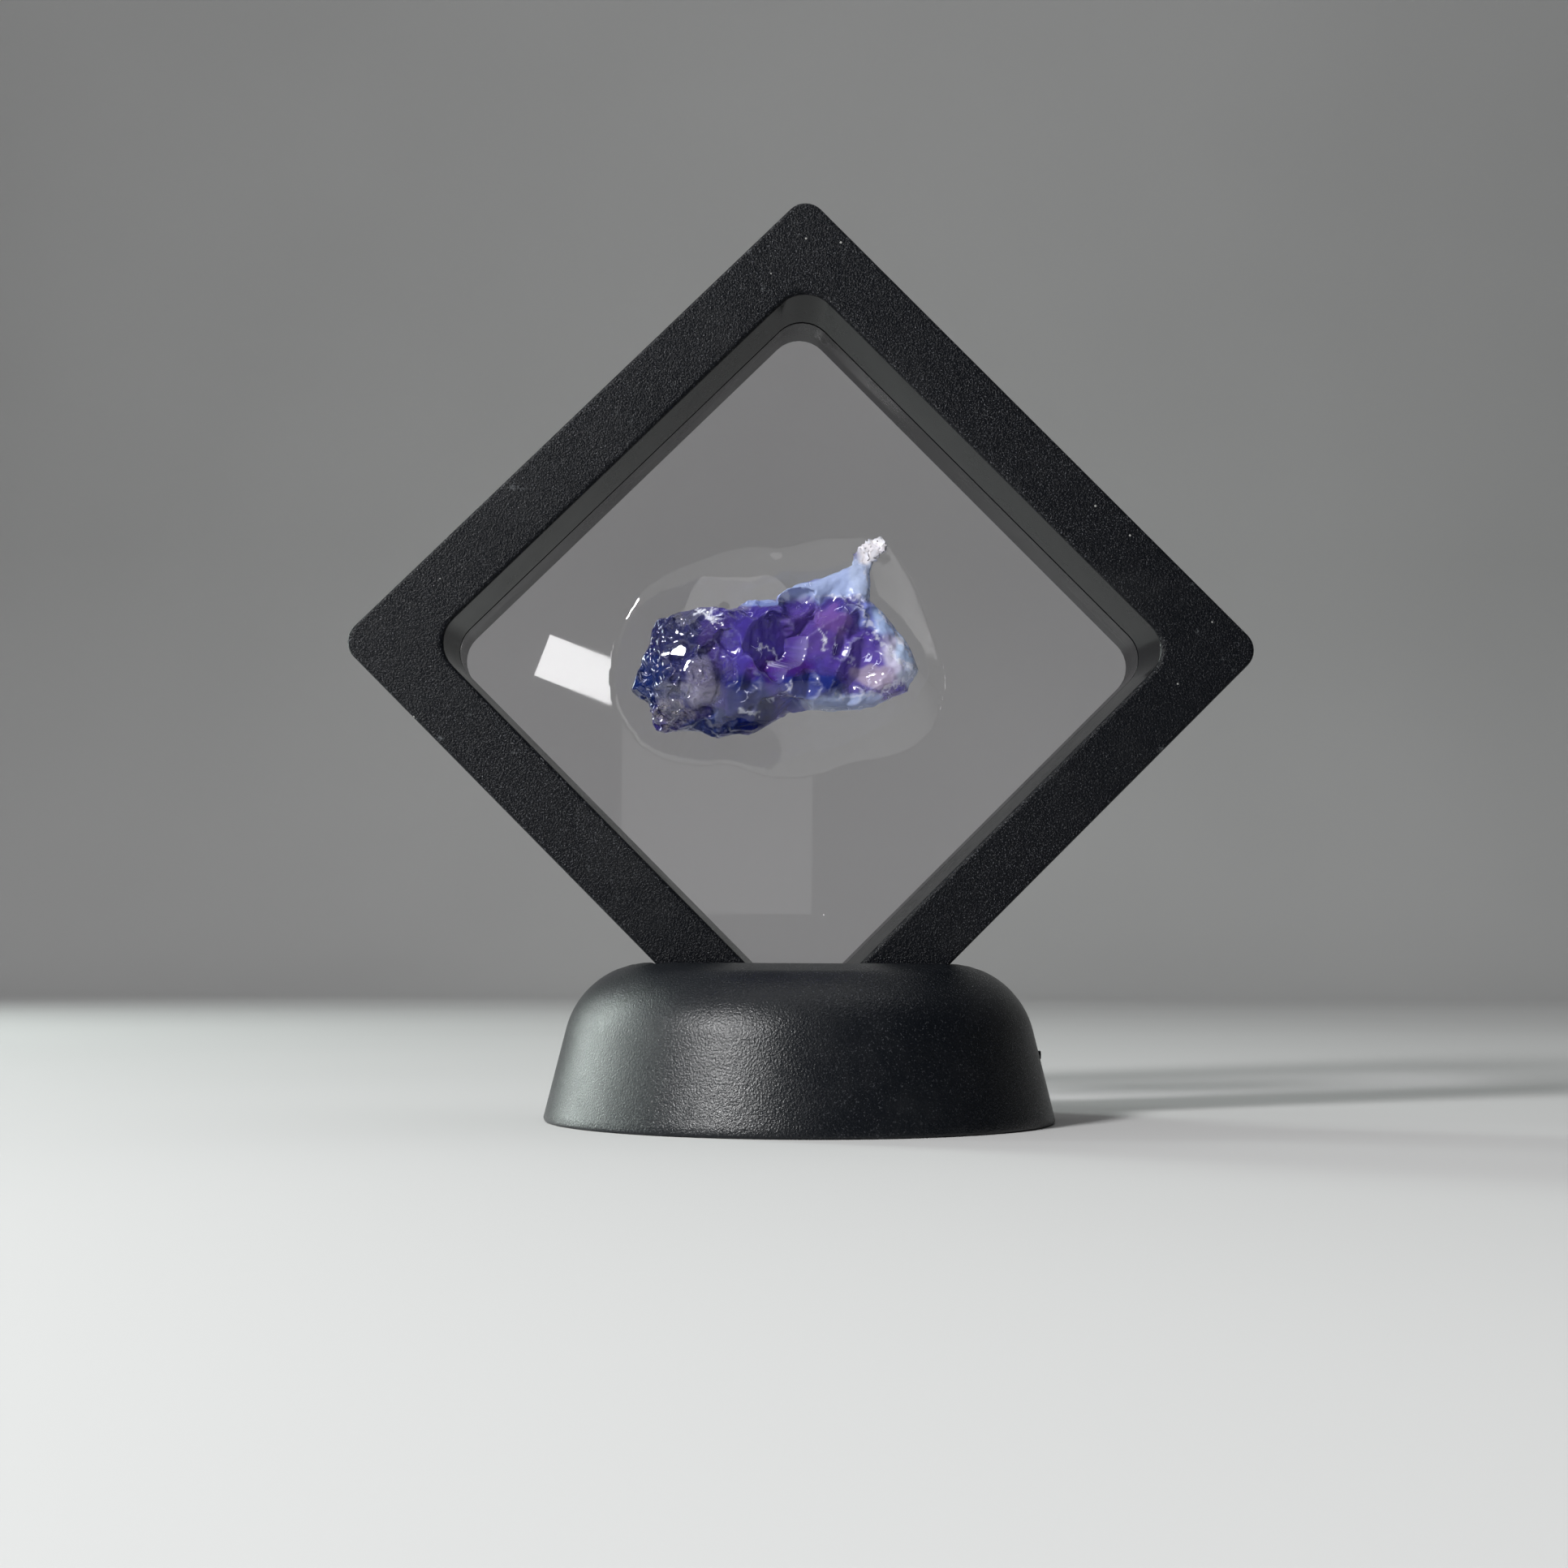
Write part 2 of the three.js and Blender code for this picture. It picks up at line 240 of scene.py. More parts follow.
def node(tree, kind, settings=None, **inputs):
    """A node with some properties and some inputs, each input a value or a socket."""
    made = tree.nodes.new(kind)
    for key, value in (settings or {}).items():
        setattr(made, key, value)
    for key, value in inputs.items():
        socket = made.inputs[int(key[1:])] if key[0] == "i" and key[1:].isdigit() else made.inputs[key]
        if isinstance(value, bpy.types.NodeSocket):
            tree.links.new(value, socket)
        else:
            socket.default_value = value
    return made


def ramp(tree, value, stops, interpolation="LINEAR"):
    """A colour ramp read at a value; stops are places and colours."""
    made = tree.nodes.new("ShaderNodeValToRGB")
    made.color_ramp.interpolation = interpolation
    elements = made.color_ramp.elements
    while len(elements) < len(stops):
        elements.new(0.5)
    for element, (place, colour) in zip(elements, stops):
        element.position = place
        element.color = (*colour, 1) if len(colour) == 3 else colour
    tree.links.new(value, made.inputs["Fac"])
    return made.outputs["Color"]


def grey(value):
    """A colour of three equal parts."""
    return (value, value, value)


def mixed(tree, share, first, second, blend="MIX"):
    """Two colours mixed by a share."""
    made = node(tree, "ShaderNodeMix", {"data_type": "RGBA", "blend_type": blend},
                i0=share, i6=first, i7=second)
    return made.outputs[2]


def maths(tree, operation, first, second=0.0, clamp=False):
    made = node(tree, "ShaderNodeMath", {"operation": operation, "use_clamp": clamp},
                i0=first, i1=second)
    return made.outputs[0]


# %% Black plastic


def black_plastic(name, colour, rough, gloss, grain, grain_size, painted_glint=0, wear=0):
    """Moulded black plastic. Grain is how deep it is, painted_glint how strongly the painted glint specks
    lighten the colour, and wear how much wear shows.
    """
    made, tree, shader = material_of(name)
    place = node(tree, "ShaderNodeTexCoord").outputs["Object"]

    def cloud(scale, detail, roughness=0.6):
        made = node(tree, "ShaderNodeTexNoise", i0=place)
        made.inputs["Scale"].default_value = scale
        made.inputs["Detail"].default_value = detail
        made.inputs["Roughness"].default_value = roughness
        return made.outputs["Fac"]

    def dots(scale, share, size):
        """Small round dots in a share of the cells of a pattern."""
        cells = node(tree, "ShaderNodeTexVoronoi", {"feature": "F1"}, i0=place)
        cells.inputs["Scale"].default_value = scale
        chosen = node(tree, "ShaderNodeSeparateColor", i0=cells.outputs["Color"]).outputs[0]
        return maths(tree, "MULTIPLY", maths(tree, "LESS_THAN", chosen, share),
                     maths(tree, "LESS_THAN", cells.outputs["Distance"], size))

    fine = cloud(1 / grain_size, 2, 0.6)
    smudge = cloud(75, 6, 0.7)
    patches = ramp(tree, cloud(28, 2), [(0.38, grey(0.4)), (0.58, grey(1))])
    # Peaks of a finer noise in patches: shinier spots in the roughness, and a painted glint in the colour.
    peaks = ramp(tree, cloud(1.15 / grain_size, 1), [(0.62, grey(0)), (0.70, grey(1))])
    shiny_and_painted_glints = maths(tree, "MULTIPLY", peaks, patches)
    flecks = ramp(tree, cloud(420, 6, 0.75), [(0.63, grey(0)), (0.72, grey(wear))])
    rubbed = ramp(tree, cloud(40, 2), [(0.48, grey(0)), (0.58, grey(1))])
    scuffs = maths(tree, "MULTIPLY", flecks, rubbed)
    dust = dots(620, 0.04 * wear, 0.10)

    body = mixed(tree, ramp(tree, smudge, [(0.52, grey(0)), (0.75, grey(1))]),
                 (*colour, 1), tuple(c + 0.005 for c in colour) + (1,))
    scuffed = mixed(tree, maths(tree, "MULTIPLY", scuffs, 0.6), body, (0.14, 0.15, 0.16, 1))
    # Painted glint: the peaks lighten the base colour as if they caught the light.
    painted_glint_colour = mixed(tree, maths(tree, "MULTIPLY", shiny_and_painted_glints, painted_glint), scuffed,
                     (0.15, 0.155, 0.17, 1))
    tree.links.new(mixed(tree, dust, painted_glint_colour, (0.26, 0.26, 0.25, 1)), shader.inputs["Base Color"])

    smear = ramp(tree, smudge, [(0.3, grey(rough - 0.04)), (0.75, grey(rough + 0.08))])
    shiny = mixed(tree, shiny_and_painted_glints, smear, (*grey(0.14), 1))
    scuffed_rough = mixed(tree, scuffs, shiny, (*grey(rough + 0.2), 1))
    tree.links.new(mixed(tree, dust, scuffed_rough, (*grey(0.9), 1)), shader.inputs["Roughness"])
    bump = node(tree, "ShaderNodeBump", Height=fine)
    bump.inputs["Strength"].default_value = grain
    bump.inputs["Distance"].default_value = 0.6 * grain_size
    tree.links.new(bump.outputs["Normal"], shader.inputs["Normal"])
    shader.inputs["IOR"].default_value = 1.52
    shader.inputs["Specular IOR Level"].default_value = gloss
    return made


base_plastic = black_plastic("base_plastic", (0.003, 0.004, 0.006), rough=0.31, gloss=0.31, grain=0.5,
                             grain_size=0.28 * MM, painted_glint=0.22, wear=0.08)
frame_plastic = black_plastic("frame_face_plastic", (0.002, 0.0025, 0.004), rough=0.33, gloss=0.13,
                              grain=1.0, grain_size=0.24 * MM, painted_glint=0.5, wear=1.0)
wall_plastic = black_plastic("window_wall_plastic", (0.003, 0.003, 0.004), rough=0.24, gloss=0.13,
                             grain=0.02, grain_size=0.3 * MM)
print("plastics:", base_plastic.name, frame_plastic.name, wall_plastic.name)

# %% [markdown]
# ## Frame halves
#
# Each half is a moulded channel: a face, a straight outer wall and a wall round the window, which
# leans outwards on the front half. The section stays the same all round, but the outer and inner
# corners have different centres, so it can't be swept; loops with their own corner rounds are
# bridged instead. The front half carries four pegs and the rear half four sockets that take them.

# %% Frame section
PARTING_ROUND = 0.15 * MM
FACE_ROUND = 0.5 * MM
WINDOW_ROUND = 0.6 * MM
LIP_ROUND = 0.1 * MM


def section(side):
    """The channel's loops: up the outer wall, over the face, down the window's wall and back inside."""
    face, deep = side * -FACE_Y, side * (-FACE_Y - WALL)
    parting, flange = side * PARTING_GAP, side * FLANGE_DROP
    window = WINDOW_HALF if side < 0 else WINDOW_WAIST
    return [
        (FRAME_HALF - WALL, FRAME_CORNER - WALL / 2, parting, 0),
        (FRAME_HALF, FRAME_CORNER, parting, PARTING_ROUND),
        (FRAME_HALF, FRAME_CORNER, face, FACE_ROUND),
        (window, WINDOW_CORNER, face, WINDOW_ROUND),
        (WINDOW_WAIST, WINDOW_CORNER, flange, LIP_ROUND),
        (WINDOW_WAIST + WALL, WINDOW_CORNER + WALL, flange, 0),
        (window + WALL, WINDOW_CORNER + WALL, deep, 0),
        (FRAME_HALF - WALL, FRAME_CORNER - WALL / 2, deep, 0),
    ]


def frame_half(name, node_name, side, add_pegs):
    """One half of the frame; its window wall, just inside the face, has a finish of its own."""
    bm = bmesh.new()
    places = rounded_section(section(side))
    chains = skin(bm, DIAMOND_COLUMNS, [diamond(*place) for place in places], closed=True)
    window_reach = (WINDOW_HALF + 0.1 * MM) * ROOT2
    below_face = -FACE_Y - 0.3 * MM
    for face in bm.faces:
        middle = face.calc_center_median()
        inside = abs(middle.x) + abs(middle.z - CENTRE.z) < window_reach
        face.material_index = int(inside and abs(middle.y) < below_face)
    print(len(chains), "rings round the channel")
    add_pegs(bm, side)
    made = piece(name, bm, "frame", node_name, [frame_plastic, wall_plastic])
    weighted(made)
    return made


# %% Pegs and sockets
PEG_SIDES = 20
PEG_RADIUS = 1.4 * MM
PEG_REACH = 3.2 * MM
PEG_PLAY = 0.2 * MM
BOSS_RADIUS = 2.6 * MM
SOCKET_DEPTH = 4.2 * MM
peg_place = (FRAME_HALF - WALL + WINDOW_WAIST + WALL) / 2 * ROOT2
peg_places = [(peg_place, 0), (0, peg_place), (-peg_place, 0), (0, -peg_place)]


def level_cylinder(bm, radius, low, high, x, z):
    """A closed cylinder along Y, from low to high."""
    made = bmesh.ops.create_cone(bm, cap_ends=True, segments=PEG_SIDES, radius1=radius, radius2=radius,
                                 depth=high - low)["verts"]
    bmesh.ops.rotate(bm, verts=made, cent=(0, 0, 0), matrix=Matrix.Rotation(math.pi / 2, 3, "X"))
    bmesh.ops.translate(bm, verts=made, vec=(x, (low + high) / 2, CENTRE.z + z))


def pegs(bm, side):
    floor = side * (-FACE_Y - WALL / 2)
    for x, z in peg_places:
        level_cylinder(bm, BOSS_RADIUS, floor, side * FLANGE_DROP, x, z)
        level_cylinder(bm, PEG_RADIUS, floor, PEG_REACH, x, z)


def socket_ring(x, z, radius, y):
    """A ring rule: a circle across Y round a peg's place."""
    def place(index):
        turn = 2 * math.pi * index / PEG_SIDES
        return Vector((x + radius * math.cos(turn), y, CENTRE.z + z + radius * math.sin(turn)))
    return place


def sockets(bm, side):
    bore = PEG_RADIUS + PEG_PLAY
    outline = [(bore, SOCKET_DEPTH), (bore, FLANGE_DROP), (BOSS_RADIUS, FLANGE_DROP),
               (BOSS_RADIUS, -FACE_Y - WALL / 2)]
    for x, z in peg_places:
        skin(bm, PEG_SIDES, [socket_ring(x, z, radius, side * y) for radius, y in outline])


frame_half("front_half_moulding", "front_frame_half", -1, pegs)
frame_half("rear_half_moulding", "rear_frame_half", 1, sockets)

# %% [markdown]
# ## Adhesive rings
#
# A thin ring of black adhesive tape holds each film to the flange round the window. It hardly shows,
# apart from a dark line where the films meet the frame, so it is one narrow closed band.

# %% Adhesive rings
FILM_HALF = 36.9 * MM
BOND_GAP = 0.02 * MM
BOND_INSET = 0.2 * MM
bond_tape = black_plastic("bond_tape", (0.006, 0.006, 0.007), rough=0.6, gloss=0.3, grain=0.2,
                          grain_size=0.4 * MM)


def bond(name, node_name, side):
    bm = bmesh.new()
    near = FILM_GAP + FILM_THICKNESS + BOND_GAP
    far = near + BOND_THICKNESS
    inner = WINDOW_WAIST + BOND_INSET
    outline = [(FILM_HALF, near), (FILM_HALF, far), (inner, far), (inner, near)]
    rings = [diamond(half, WINDOW_CORNER, side * y) for half, y in outline]
    skin(bm, DIAMOND_COLUMNS, rings, closed=True)
    piece(name, bm, "frame", node_name, [bond_tape])


bond("front_bond_ring", "front_film_bond", -1)
bond("rear_bond_ring", "rear_film_bond", 1)

# %% [markdown]
# ## Base
#
# The base is one thin moulded shell, round outside, with a V-shaped pocket that takes the frame's
# corner. A spin would give the outside but not the pocket, so the skin is a chain of rings with the
# same number of columns: from the pocket's floor, up its walls, over the mouth's rounded edge, out
# along the top and shoulder, down the flank, and back inside. Each ring is extruded from the last.

# %% Base outline
SHOULDER_RADIUS = 12 * MM
SHELL = 2 * MM
POCKET_CLEARANCE = 0.35 * MM
POCKET_FLOOR = 2.5 * MM
POCKET_MIDDLE = 10.5 * MM
POCKET_BOTTOM = 0.8 * MM
MOUTH_ROUND = 0.35 * MM
shoulder_z = BASE_HEIGHT - SHOULDER_RADIUS
shoulder_x = BASE_RADIUS - (SHOULDER_RADIUS + shoulder_z * math.sin(BASE_LEAN)) / math.cos(BASE_LEAN)
frame_tip = CENTRE.z - FRAME_HALF * ROOT2
print(f"shoulder round centred {shoulder_x / MM:.2f} mm out, frame's square tip {frame_tip / MM:.2f} mm up")


def pocket_half(gap, z):
    """Half width of the V at a height, standing off the frame by a gap."""
    return z - (frame_tip - gap * ROOT2)


def top_height(radius):
    """The height of the base's top skin at a distance from the axis."""
    past = max(0, min(radius - shoulder_x, SHOULDER_RADIUS))
    return shoulder_z + math.sqrt(SHOULDER_RADIUS ** 2 - past ** 2)


# %% Base columns
mouth_x = pocket_half(POCKET_CLEARANCE, BASE_HEIGHT)
mouth_y = -FACE_Y + POCKET_CLEARANCE
mouth_corner = math.atan2(mouth_y, mouth_x)
corner_angles = [-mouth_corner, mouth_corner, math.pi - mouth_corner, math.pi + mouth_corner,
                 2 * math.pi - mouth_corner]
SHORT_SIDE_STEPS, LONG_SIDE_STEPS = 16, 32
column_angles = []
for start, end, steps in zip(corner_angles, corner_angles[1:], [SHORT_SIDE_STEPS, LONG_SIDE_STEPS] * 2):
    column_angles += [start + (end - start) * step / steps for step in range(steps)]
print(len(column_angles), "columns")


def on_rectangle(angle, half_x, half_y):
    """The point of a rectangle's side in a direction from its middle."""
    reach = min(half_x / max(abs(math.cos(angle)), 1e-9), half_y / max(abs(math.sin(angle)), 1e-9))
    return Vector((reach * math.cos(angle), reach * math.sin(angle), 0))


def mouth_point(index):
    point = on_rectangle(column_angles[index], mouth_x, mouth_y)
    point.z = top_height(point.length)
    point.x *= pocket_half(POCKET_CLEARANCE, point.z) / mouth_x
    return point


def pocket_ring(gap, wall, z):
    """A ring of the pocket's skin, inside or outside."""
    def place(index):
        point = on_rectangle(column_angles[index], mouth_x, mouth_y)
        return Vector((point.x * pocket_half(gap, z) / mouth_x, point.y * (mouth_y + wall) / mouth_y, z))
    return place


def top_ring(share, reach):
    """A ring part of the way from the mouth to a round one."""
    def place(index):
        angle = column_angles[index]
        flat = mouth_point(index).to_2d().lerp(Vector((math.cos(angle), math.sin(angle))) * reach, share)
        return Vector((*flat, top_height(flat.length)))
    return place


def round_ring(radius, z):
    return lambda index: Vector((radius * math.cos(column_angles[index]),
                                 radius * math.sin(column_angles[index]), z))


def shoulder_rings(radius, first, last, steps):
    turns = [first + (last - first) * step / steps for step in range(steps + 1)]
    return [round_ring(shoulder_x + radius * math.cos(t), shoulder_z + radius * math.sin(t)) for t in turns]


# %% Base skin
TOP_REACH = 25.5 * MM
slope = math.tan(BASE_LEAN)
first_turn = math.acos((TOP_REACH - shoulder_x) / SHOULDER_RADIUS)
inner_foot = BASE_RADIUS - SHELL / math.cos(BASE_LEAN)
roof = BASE_HEIGHT - SHELL
outer_gap = SHELL + POCKET_CLEARANCE
rings = [
    pocket_ring(POCKET_CLEARANCE, 0, POCKET_FLOOR),
    pocket_ring(POCKET_CLEARANCE, 0, POCKET_MIDDLE),
    mouth_point,
    top_ring(0.25, TOP_REACH),
    top_ring(0.6, TOP_REACH),
    *shoulder_rings(SHOULDER_RADIUS, first_turn, BASE_LEAN, 16),
    round_ring(BASE_RADIUS - 3 * RIM_ROUND * slope, 3 * RIM_ROUND),
    round_ring(BASE_RADIUS - RIM_ROUND * slope, RIM_ROUND),
    round_ring(BASE_RADIUS - 0.5 * RIM_ROUND, 0.25 * RIM_ROUND),
    round_ring(BASE_RADIUS - 1.2 * RIM_ROUND, 0),
    round_ring(inner_foot, 0),
    *shoulder_rings(SHOULDER_RADIUS - SHELL, BASE_LEAN, math.pi / 2, 6),
    pocket_ring(outer_gap, SHELL, roof),
    pocket_ring(outer_gap, SHELL, POCKET_BOTTOM),
]
bm = bmesh.new()
chains = skin(bm, len(column_angles), rings)
mouth = chains[2]
bmesh.ops.bevel(bm, geom=mouth, offset=MOUTH_ROUND, offset_type="OFFSET", segments=3, profile=0.5,
                affect="EDGES", material=-1, clamp_overlap=True)
print(len(chains), "rings from pocket to roof")

# %% Moulding gate
# The nub at the right is what is left of the gate, cut off almost flush with the flank.
GATE_HEIGHT = 9.1 * MM
GATE_LENGTH = 1.4 * MM
GATE_SUNK = 0.2 * MM
gate_x = BASE_RADIUS - GATE_HEIGHT * slope - GATE_SUNK
gate = bmesh.ops.create_cone(bm, cap_ends=True, segments=16, radius1=0.7 * MM, radius2=0.6 * MM,
                             depth=GATE_LENGTH)["verts"]
bmesh.ops.rotate(bm, verts=gate, cent=(0, 0, 0), matrix=Matrix.Rotation(math.pi / 2, 3, "Y"))
bmesh.ops.translate(bm, verts=gate, vec=(gate_x, 0, GATE_HEIGHT))
base = piece("base_moulding", bm, "base", "display_base", [base_plastic], sharp=35)
weighted(base)

# %% [markdown]
# ## Crystal body
#
# Halite grows as cubes, but this piece is a cleaved and partly dissolved lump: a blunt, glassy left
# end with a round knob, a thick dark middle, a pale bevel along the top, a thin upright tip and a
# wedge at the right. Its outline is drawn point by point, and rings pulled in from it give the crown on
# both sides. A remesh then makes even small faces, so that the surface can be carved like clay.

# %% Crystal outline
# Its points are millimetres from the frame's centre, along X and up.
CRYSTAL_MIDDLE = Vector((-3.5, -0.5))
CRYSTAL_OUTLINE = [Vector(point) for point in [
    (16.9, -2.0), (16.2, -0.1), (15.3, 1.8), (13.6, 4.0), (11.8, 6.2), (9.8, 8.0), (9.9, 9.3),
    (10.0, 11.1), (9.7, 13.0), (9.0, 13.7), (7.9, 13.6), (6.8, 12.8), (5.2, 12.1), (3.0, 11.2),
    (0.2, 10.5), (-1.7, 9.6), (-3.3, 8.0), (-6.1, 7.8), (-7.7, 7.9), (-8.6, 7.6), (-9.6, 6.7),
    (-12.2, 6.8), (-14.7, 6.7), (-16.3, 6.1), (-18.7, 5.6), (-20.6, 4.9), (-21.4, 3.4), (-21.6, 1.5),
    (-22.5, -0.1), (-23.1, -1.9), (-23.8, -3.7), (-24.2, -5.4), (-23.1, -6.3), (-21.7, -7.2),
    (-21.4, -9.4), (-20.6, -10.9), (-19.7, -11.3), (-16.3, -10.9), (-14.3, -11.1), (-13.1, -11.6),
    (-11.9, -12.0), (-9.6, -11.5), (-7.2, -11.5), (-4.9, -10.6), (-2.5, -9.1), (-0.2, -8.2),
    (1.3, -7.8), (4.8, -8.0), (7.7, -7.8), (10.4, -7.3), (13.0, -6.0), (15.4, -5.1), (15.6, -3.9),
    (16.5, -2.8),
]]
CRYSTAL_HALF_THICKNESS = 5.9
FLAKE_OUTLINE = [Vector(point) for point in [
    (9.9, 12.4), (10.2, 13.7), (10.6, 14.4), (11.1, 14.8), (11.9, 14.9), (12.0, 16.5), (10.4, 16.7),
    (9.0, 16.2), (7.8, 14.6), (6.9, 12.4), (8.4, 12.2),
]]
FLAKE_HALF_THICKNESS = 0.35


def smoothstep(value, low, high):
    share = np.clip((value - low) / (high - low), 0, 1)
    return share * share * (3 - 2 * share)


def half_thickness(x, z):
    """Thick and blocky at the left, thinner towards the wedge, thinnest at the tip."""
    return CRYSTAL_HALF_THICKNESS * (1 - 0.3 * smoothstep(x, -5, 17)) * (1 - 0.6 * smoothstep(z, 7, 14))


def crown_ring(share, lift):
    """The outline pulled in towards the middle and lifted off the middle plane."""
    def place(index):
        corner = CRYSTAL_OUTLINE[index]
        flat = CRYSTAL_MIDDLE.lerp(corner, share)
        return Vector((flat.x, lift * half_thickness(corner.x, corner.y), flat.y)) * MM + CENTRE
    return place


def flake_ring(y):
    """The thin crust of white salt that grew on past the tip."""
    return lambda index: CENTRE + Vector((FLAKE_OUTLINE[index].x, y, FLAKE_OUTLINE[index].y)) * MM


CROWN = [(0.15, 1.0), (0.5, 0.97), (0.72, 0.88), (0.86, 0.7), (0.95, 0.42), (0.99, 0.16)]
front_crown = [crown_ring(share, -lift) for share, lift in CROWN]
rear_crown = [crown_ring(share, lift) for share, lift in reversed(CROWN)]
bm = bmesh.new()
skin(bm, len(CRYSTAL_OUTLINE), front_crown + rear_crown)
skin(bm, len(FLAKE_OUTLINE), [flake_ring(-FLAKE_HALF_THICKNESS), flake_ring(FLAKE_HALF_THICKNESS)])
print("crystal before carving:", len(bm.faces), "faces")

# %% Even faces
VOXEL = 0.22 * MM


def remeshed(bm, voxel):
    """Even faces of about one voxel, all round the same solid."""
    bmesh.ops.recalc_face_normals(bm, faces=bm.faces)
    mesh = bpy.data.meshes.new("lump")
    bm.to_mesh(mesh)
    bm.free()
    lump = bpy.data.objects.new("lump", mesh)
    bpy.context.collection.objects.link(lump)
    modifier = lump.modifiers.new("even faces", "REMESH")
    modifier.mode = "VOXEL"
    modifier.voxel_size = voxel
    graph = bpy.context.evaluated_depsgraph_get()
    even = bmesh.new()
    even.from_object(lump, graph)
    bpy.data.objects.remove(lump)
    bpy.data.meshes.remove(mesh)
    return even


bm = remeshed(bm, VOXEL)
bm.normal_update()
print("crystal body:", len(bm.verts), "points")

# %% [markdown]
# ## Carving
#
# Damp air dissolves halite into shallow round hollows with sharp ridges between them, and a blow
# splits it into small flat steps that all lie along the same cube. So there are two tools: a
# scoop, a sphere that pushes every point inside it out to its own surface, and a cleave, which
# pushes the points near a seed down to a plane. The spheres are bent by a swirl, since no hollow
# is truly round. The thin tip and its crust keep their shape. Blender's noise starts from the clock
# unless it is given a seed, so both the noise and the random draws get one.

# %% Carving tools
draw = np.random.default_rng(11)
noise.seed_set(1)
LATTICE = np.array(Quaternion((0.86, 0.22, -0.38, 0.25)).normalized().to_matrix())
STEP_SOFT = 0.75
FACET_SOFT = 0.35


def places_of(bm):
    """All points of the crystal in millimetres from the frame's centre."""
    return (np.array([vert.co for vert in bm.verts]) - np.array(CENTRE)) / MM


def put_back(bm, points):
    for vert, point in zip(bm.verts, points):
        vert.co = CENTRE + Vector(point) * MM


def wavering(scale):
    """A smooth random push for every point, from noise of a given fineness."""
    return np.array([noise.noise_vector(Vector(point) * scale) for point in points])


def scoop(index, outward, radius, depth):
    """Carves a bent hollow of about a sphere's radius, as deep as depth at its seed point."""
    bent = points + swirl
    centre = bent[index] + outward * (radius - depth)
    away = bent - centre
    reach = np.linalg.norm(away, axis=1)
    inside = reach < radius
    pushed = away[inside] * (radius / np.maximum(reach[inside], 1e-6) - 1)[:, None]
    points[inside] += pushed


def cleave(seed, outward, reach, depth, soft):
    """Flattens the points round the seed to a plane a depth below it, less and less past soft."""
    offset = points - seed
    above = offset @ outward + depth
    bent = offset + 0.6 * swirl
    beside = np.linalg.norm(bent - (bent @ outward)[:, None] * outward, axis=1) / reach
    share = (1 - smoothstep(beside, soft, 1)) * ((above > 0) & (above < reach))
    points[:] -= (share * above)[:, None] * outward


def seeds_in(low, high, count):
    """Random points of the surface between two corners of a box."""
    wanted = np.flatnonzero(np.all((points > low) & (points < high), axis=1))
    return draw.choice(wanted, count, replace=False)


def scoops(low, high, count, radii, depths):
    for index in seeds_in(low, high, count):
        tilted = normals[index] + draw.normal(0, 0.18, 3)
        scoop(index, tilted / np.linalg.norm(tilted), draw.uniform(*radii), draw.uniform(*depths))


def cleaves(low, high, count, reaches, depths):
    """Small steps along whichever face of the cube lattice looks the same way as the surface."""
    for index in seeds_in(low, high, count):
        along = LATTICE.T @ normals[index]
        face = np.argmax(np.abs(along))
        outward = LATTICE[:, face] * np.sign(along[face])
        cleave(points[index].copy(), outward, draw.uniform(*reaches), draw.uniform(*depths), STEP_SOFT)


def facets(left, right):
    """Cleaves the large facets whose seeds lie between two places along x."""
    for seed, outward, reach, depth in FACETS:
        if left < seed[0] < right:
            outward = np.array(outward) / np.linalg.norm(outward)
            cleave(np.array(seed), outward, reach, depth, FACET_SOFT)


# %% Carve the crystal
# Each large facet is its seed on the surface, the way it looks, its reach and its depth.
FACETS = [
    ((12.5, -4.0, 0.5), (0.40, -0.90, 0.12), 7.5, 0.5),
    ((12.0, -3.6, -4.0), (0.25, -0.80, -0.55), 6.0, 0.5),
    ((11.2, -3.6, 5.2), (0.52, -0.80, 0.30), 6.0, 0.5),
    ((1.0, -4.8, 8.0), (-0.14, -0.78, 0.62), 6.0, 0.5),
    ((14.8, -2.4, 2.8), (0.72, -0.55, 0.42), 6.0, 0.4),
    ((8.0, -4.1, -6.0), (0.05, -0.72, -0.65), 6.0, 0.4),
    ((-18.5, -4.6, -9.0), (-0.15, -0.80, -0.58), 3.2, 0.9),
    ((-22.0, -3.2, -3.0), (-0.80, -0.58, 0.10), 4.0, 0.7),
    ((-19.0, -5.2, 3.5), (-0.35, -0.80, 0.48), 3.5, 0.6),
    ((-4.0, -5.6, -6.0), (0.06, -0.92, -0.36), 4.5, 0.4),
    ((11.0, 4.4, -1.0), (0.50, 0.84, -0.10), 5.5, 0.8),
    ((0.0, 4.8, 7.6), (0.05, 0.66, 0.75), 7.0, 0.9),
    ((-20.5, 4.6, -4.0), (-0.62, 0.78, 0.05), 4.5, 0.8),
    ((-2.0, 5.2, -6.5), (0.0, 0.86, -0.48), 6.0, 0.5),
]
points = places_of(bm)
normals = np.array([vert.normal for vert in bm.verts])
uncarved = points.copy()
swirl = 1.2 * wavering(0.35) + 0.5 * wavering(1.0) + 0.2 * wavering(2.1)
scoops((-12, -9, -10), (8, 9, 8), 12, (3.0, 6.0), (0.15, 0.32))
scoops((-25, -9, -13), (-9, 9, 7), 22, (2.2, 4.5), (0.35, 0.70))
facets(-99, 99)
cleaves((-25, -9, -13), (-10, 9, 7), 60, (0.7, 1.9), (0.12, 0.45))
cleaves((-11, -9, -12), (12, 9, 9), 60, (1.6, 4.2), (0.10, 0.28))
scoops((-25, -9, -13), (-9, 9, 7), 34, (0.9, 2.2), (0.12, 0.35))
scoops((-8, -9, -12), (12, 9, 9), 5, (0.9, 1.8), (0.08, 0.15))
cleaves((-23, -9, -8), (-13, 0, 5), 50, (0.5, 1.3), (0.10, 0.26))

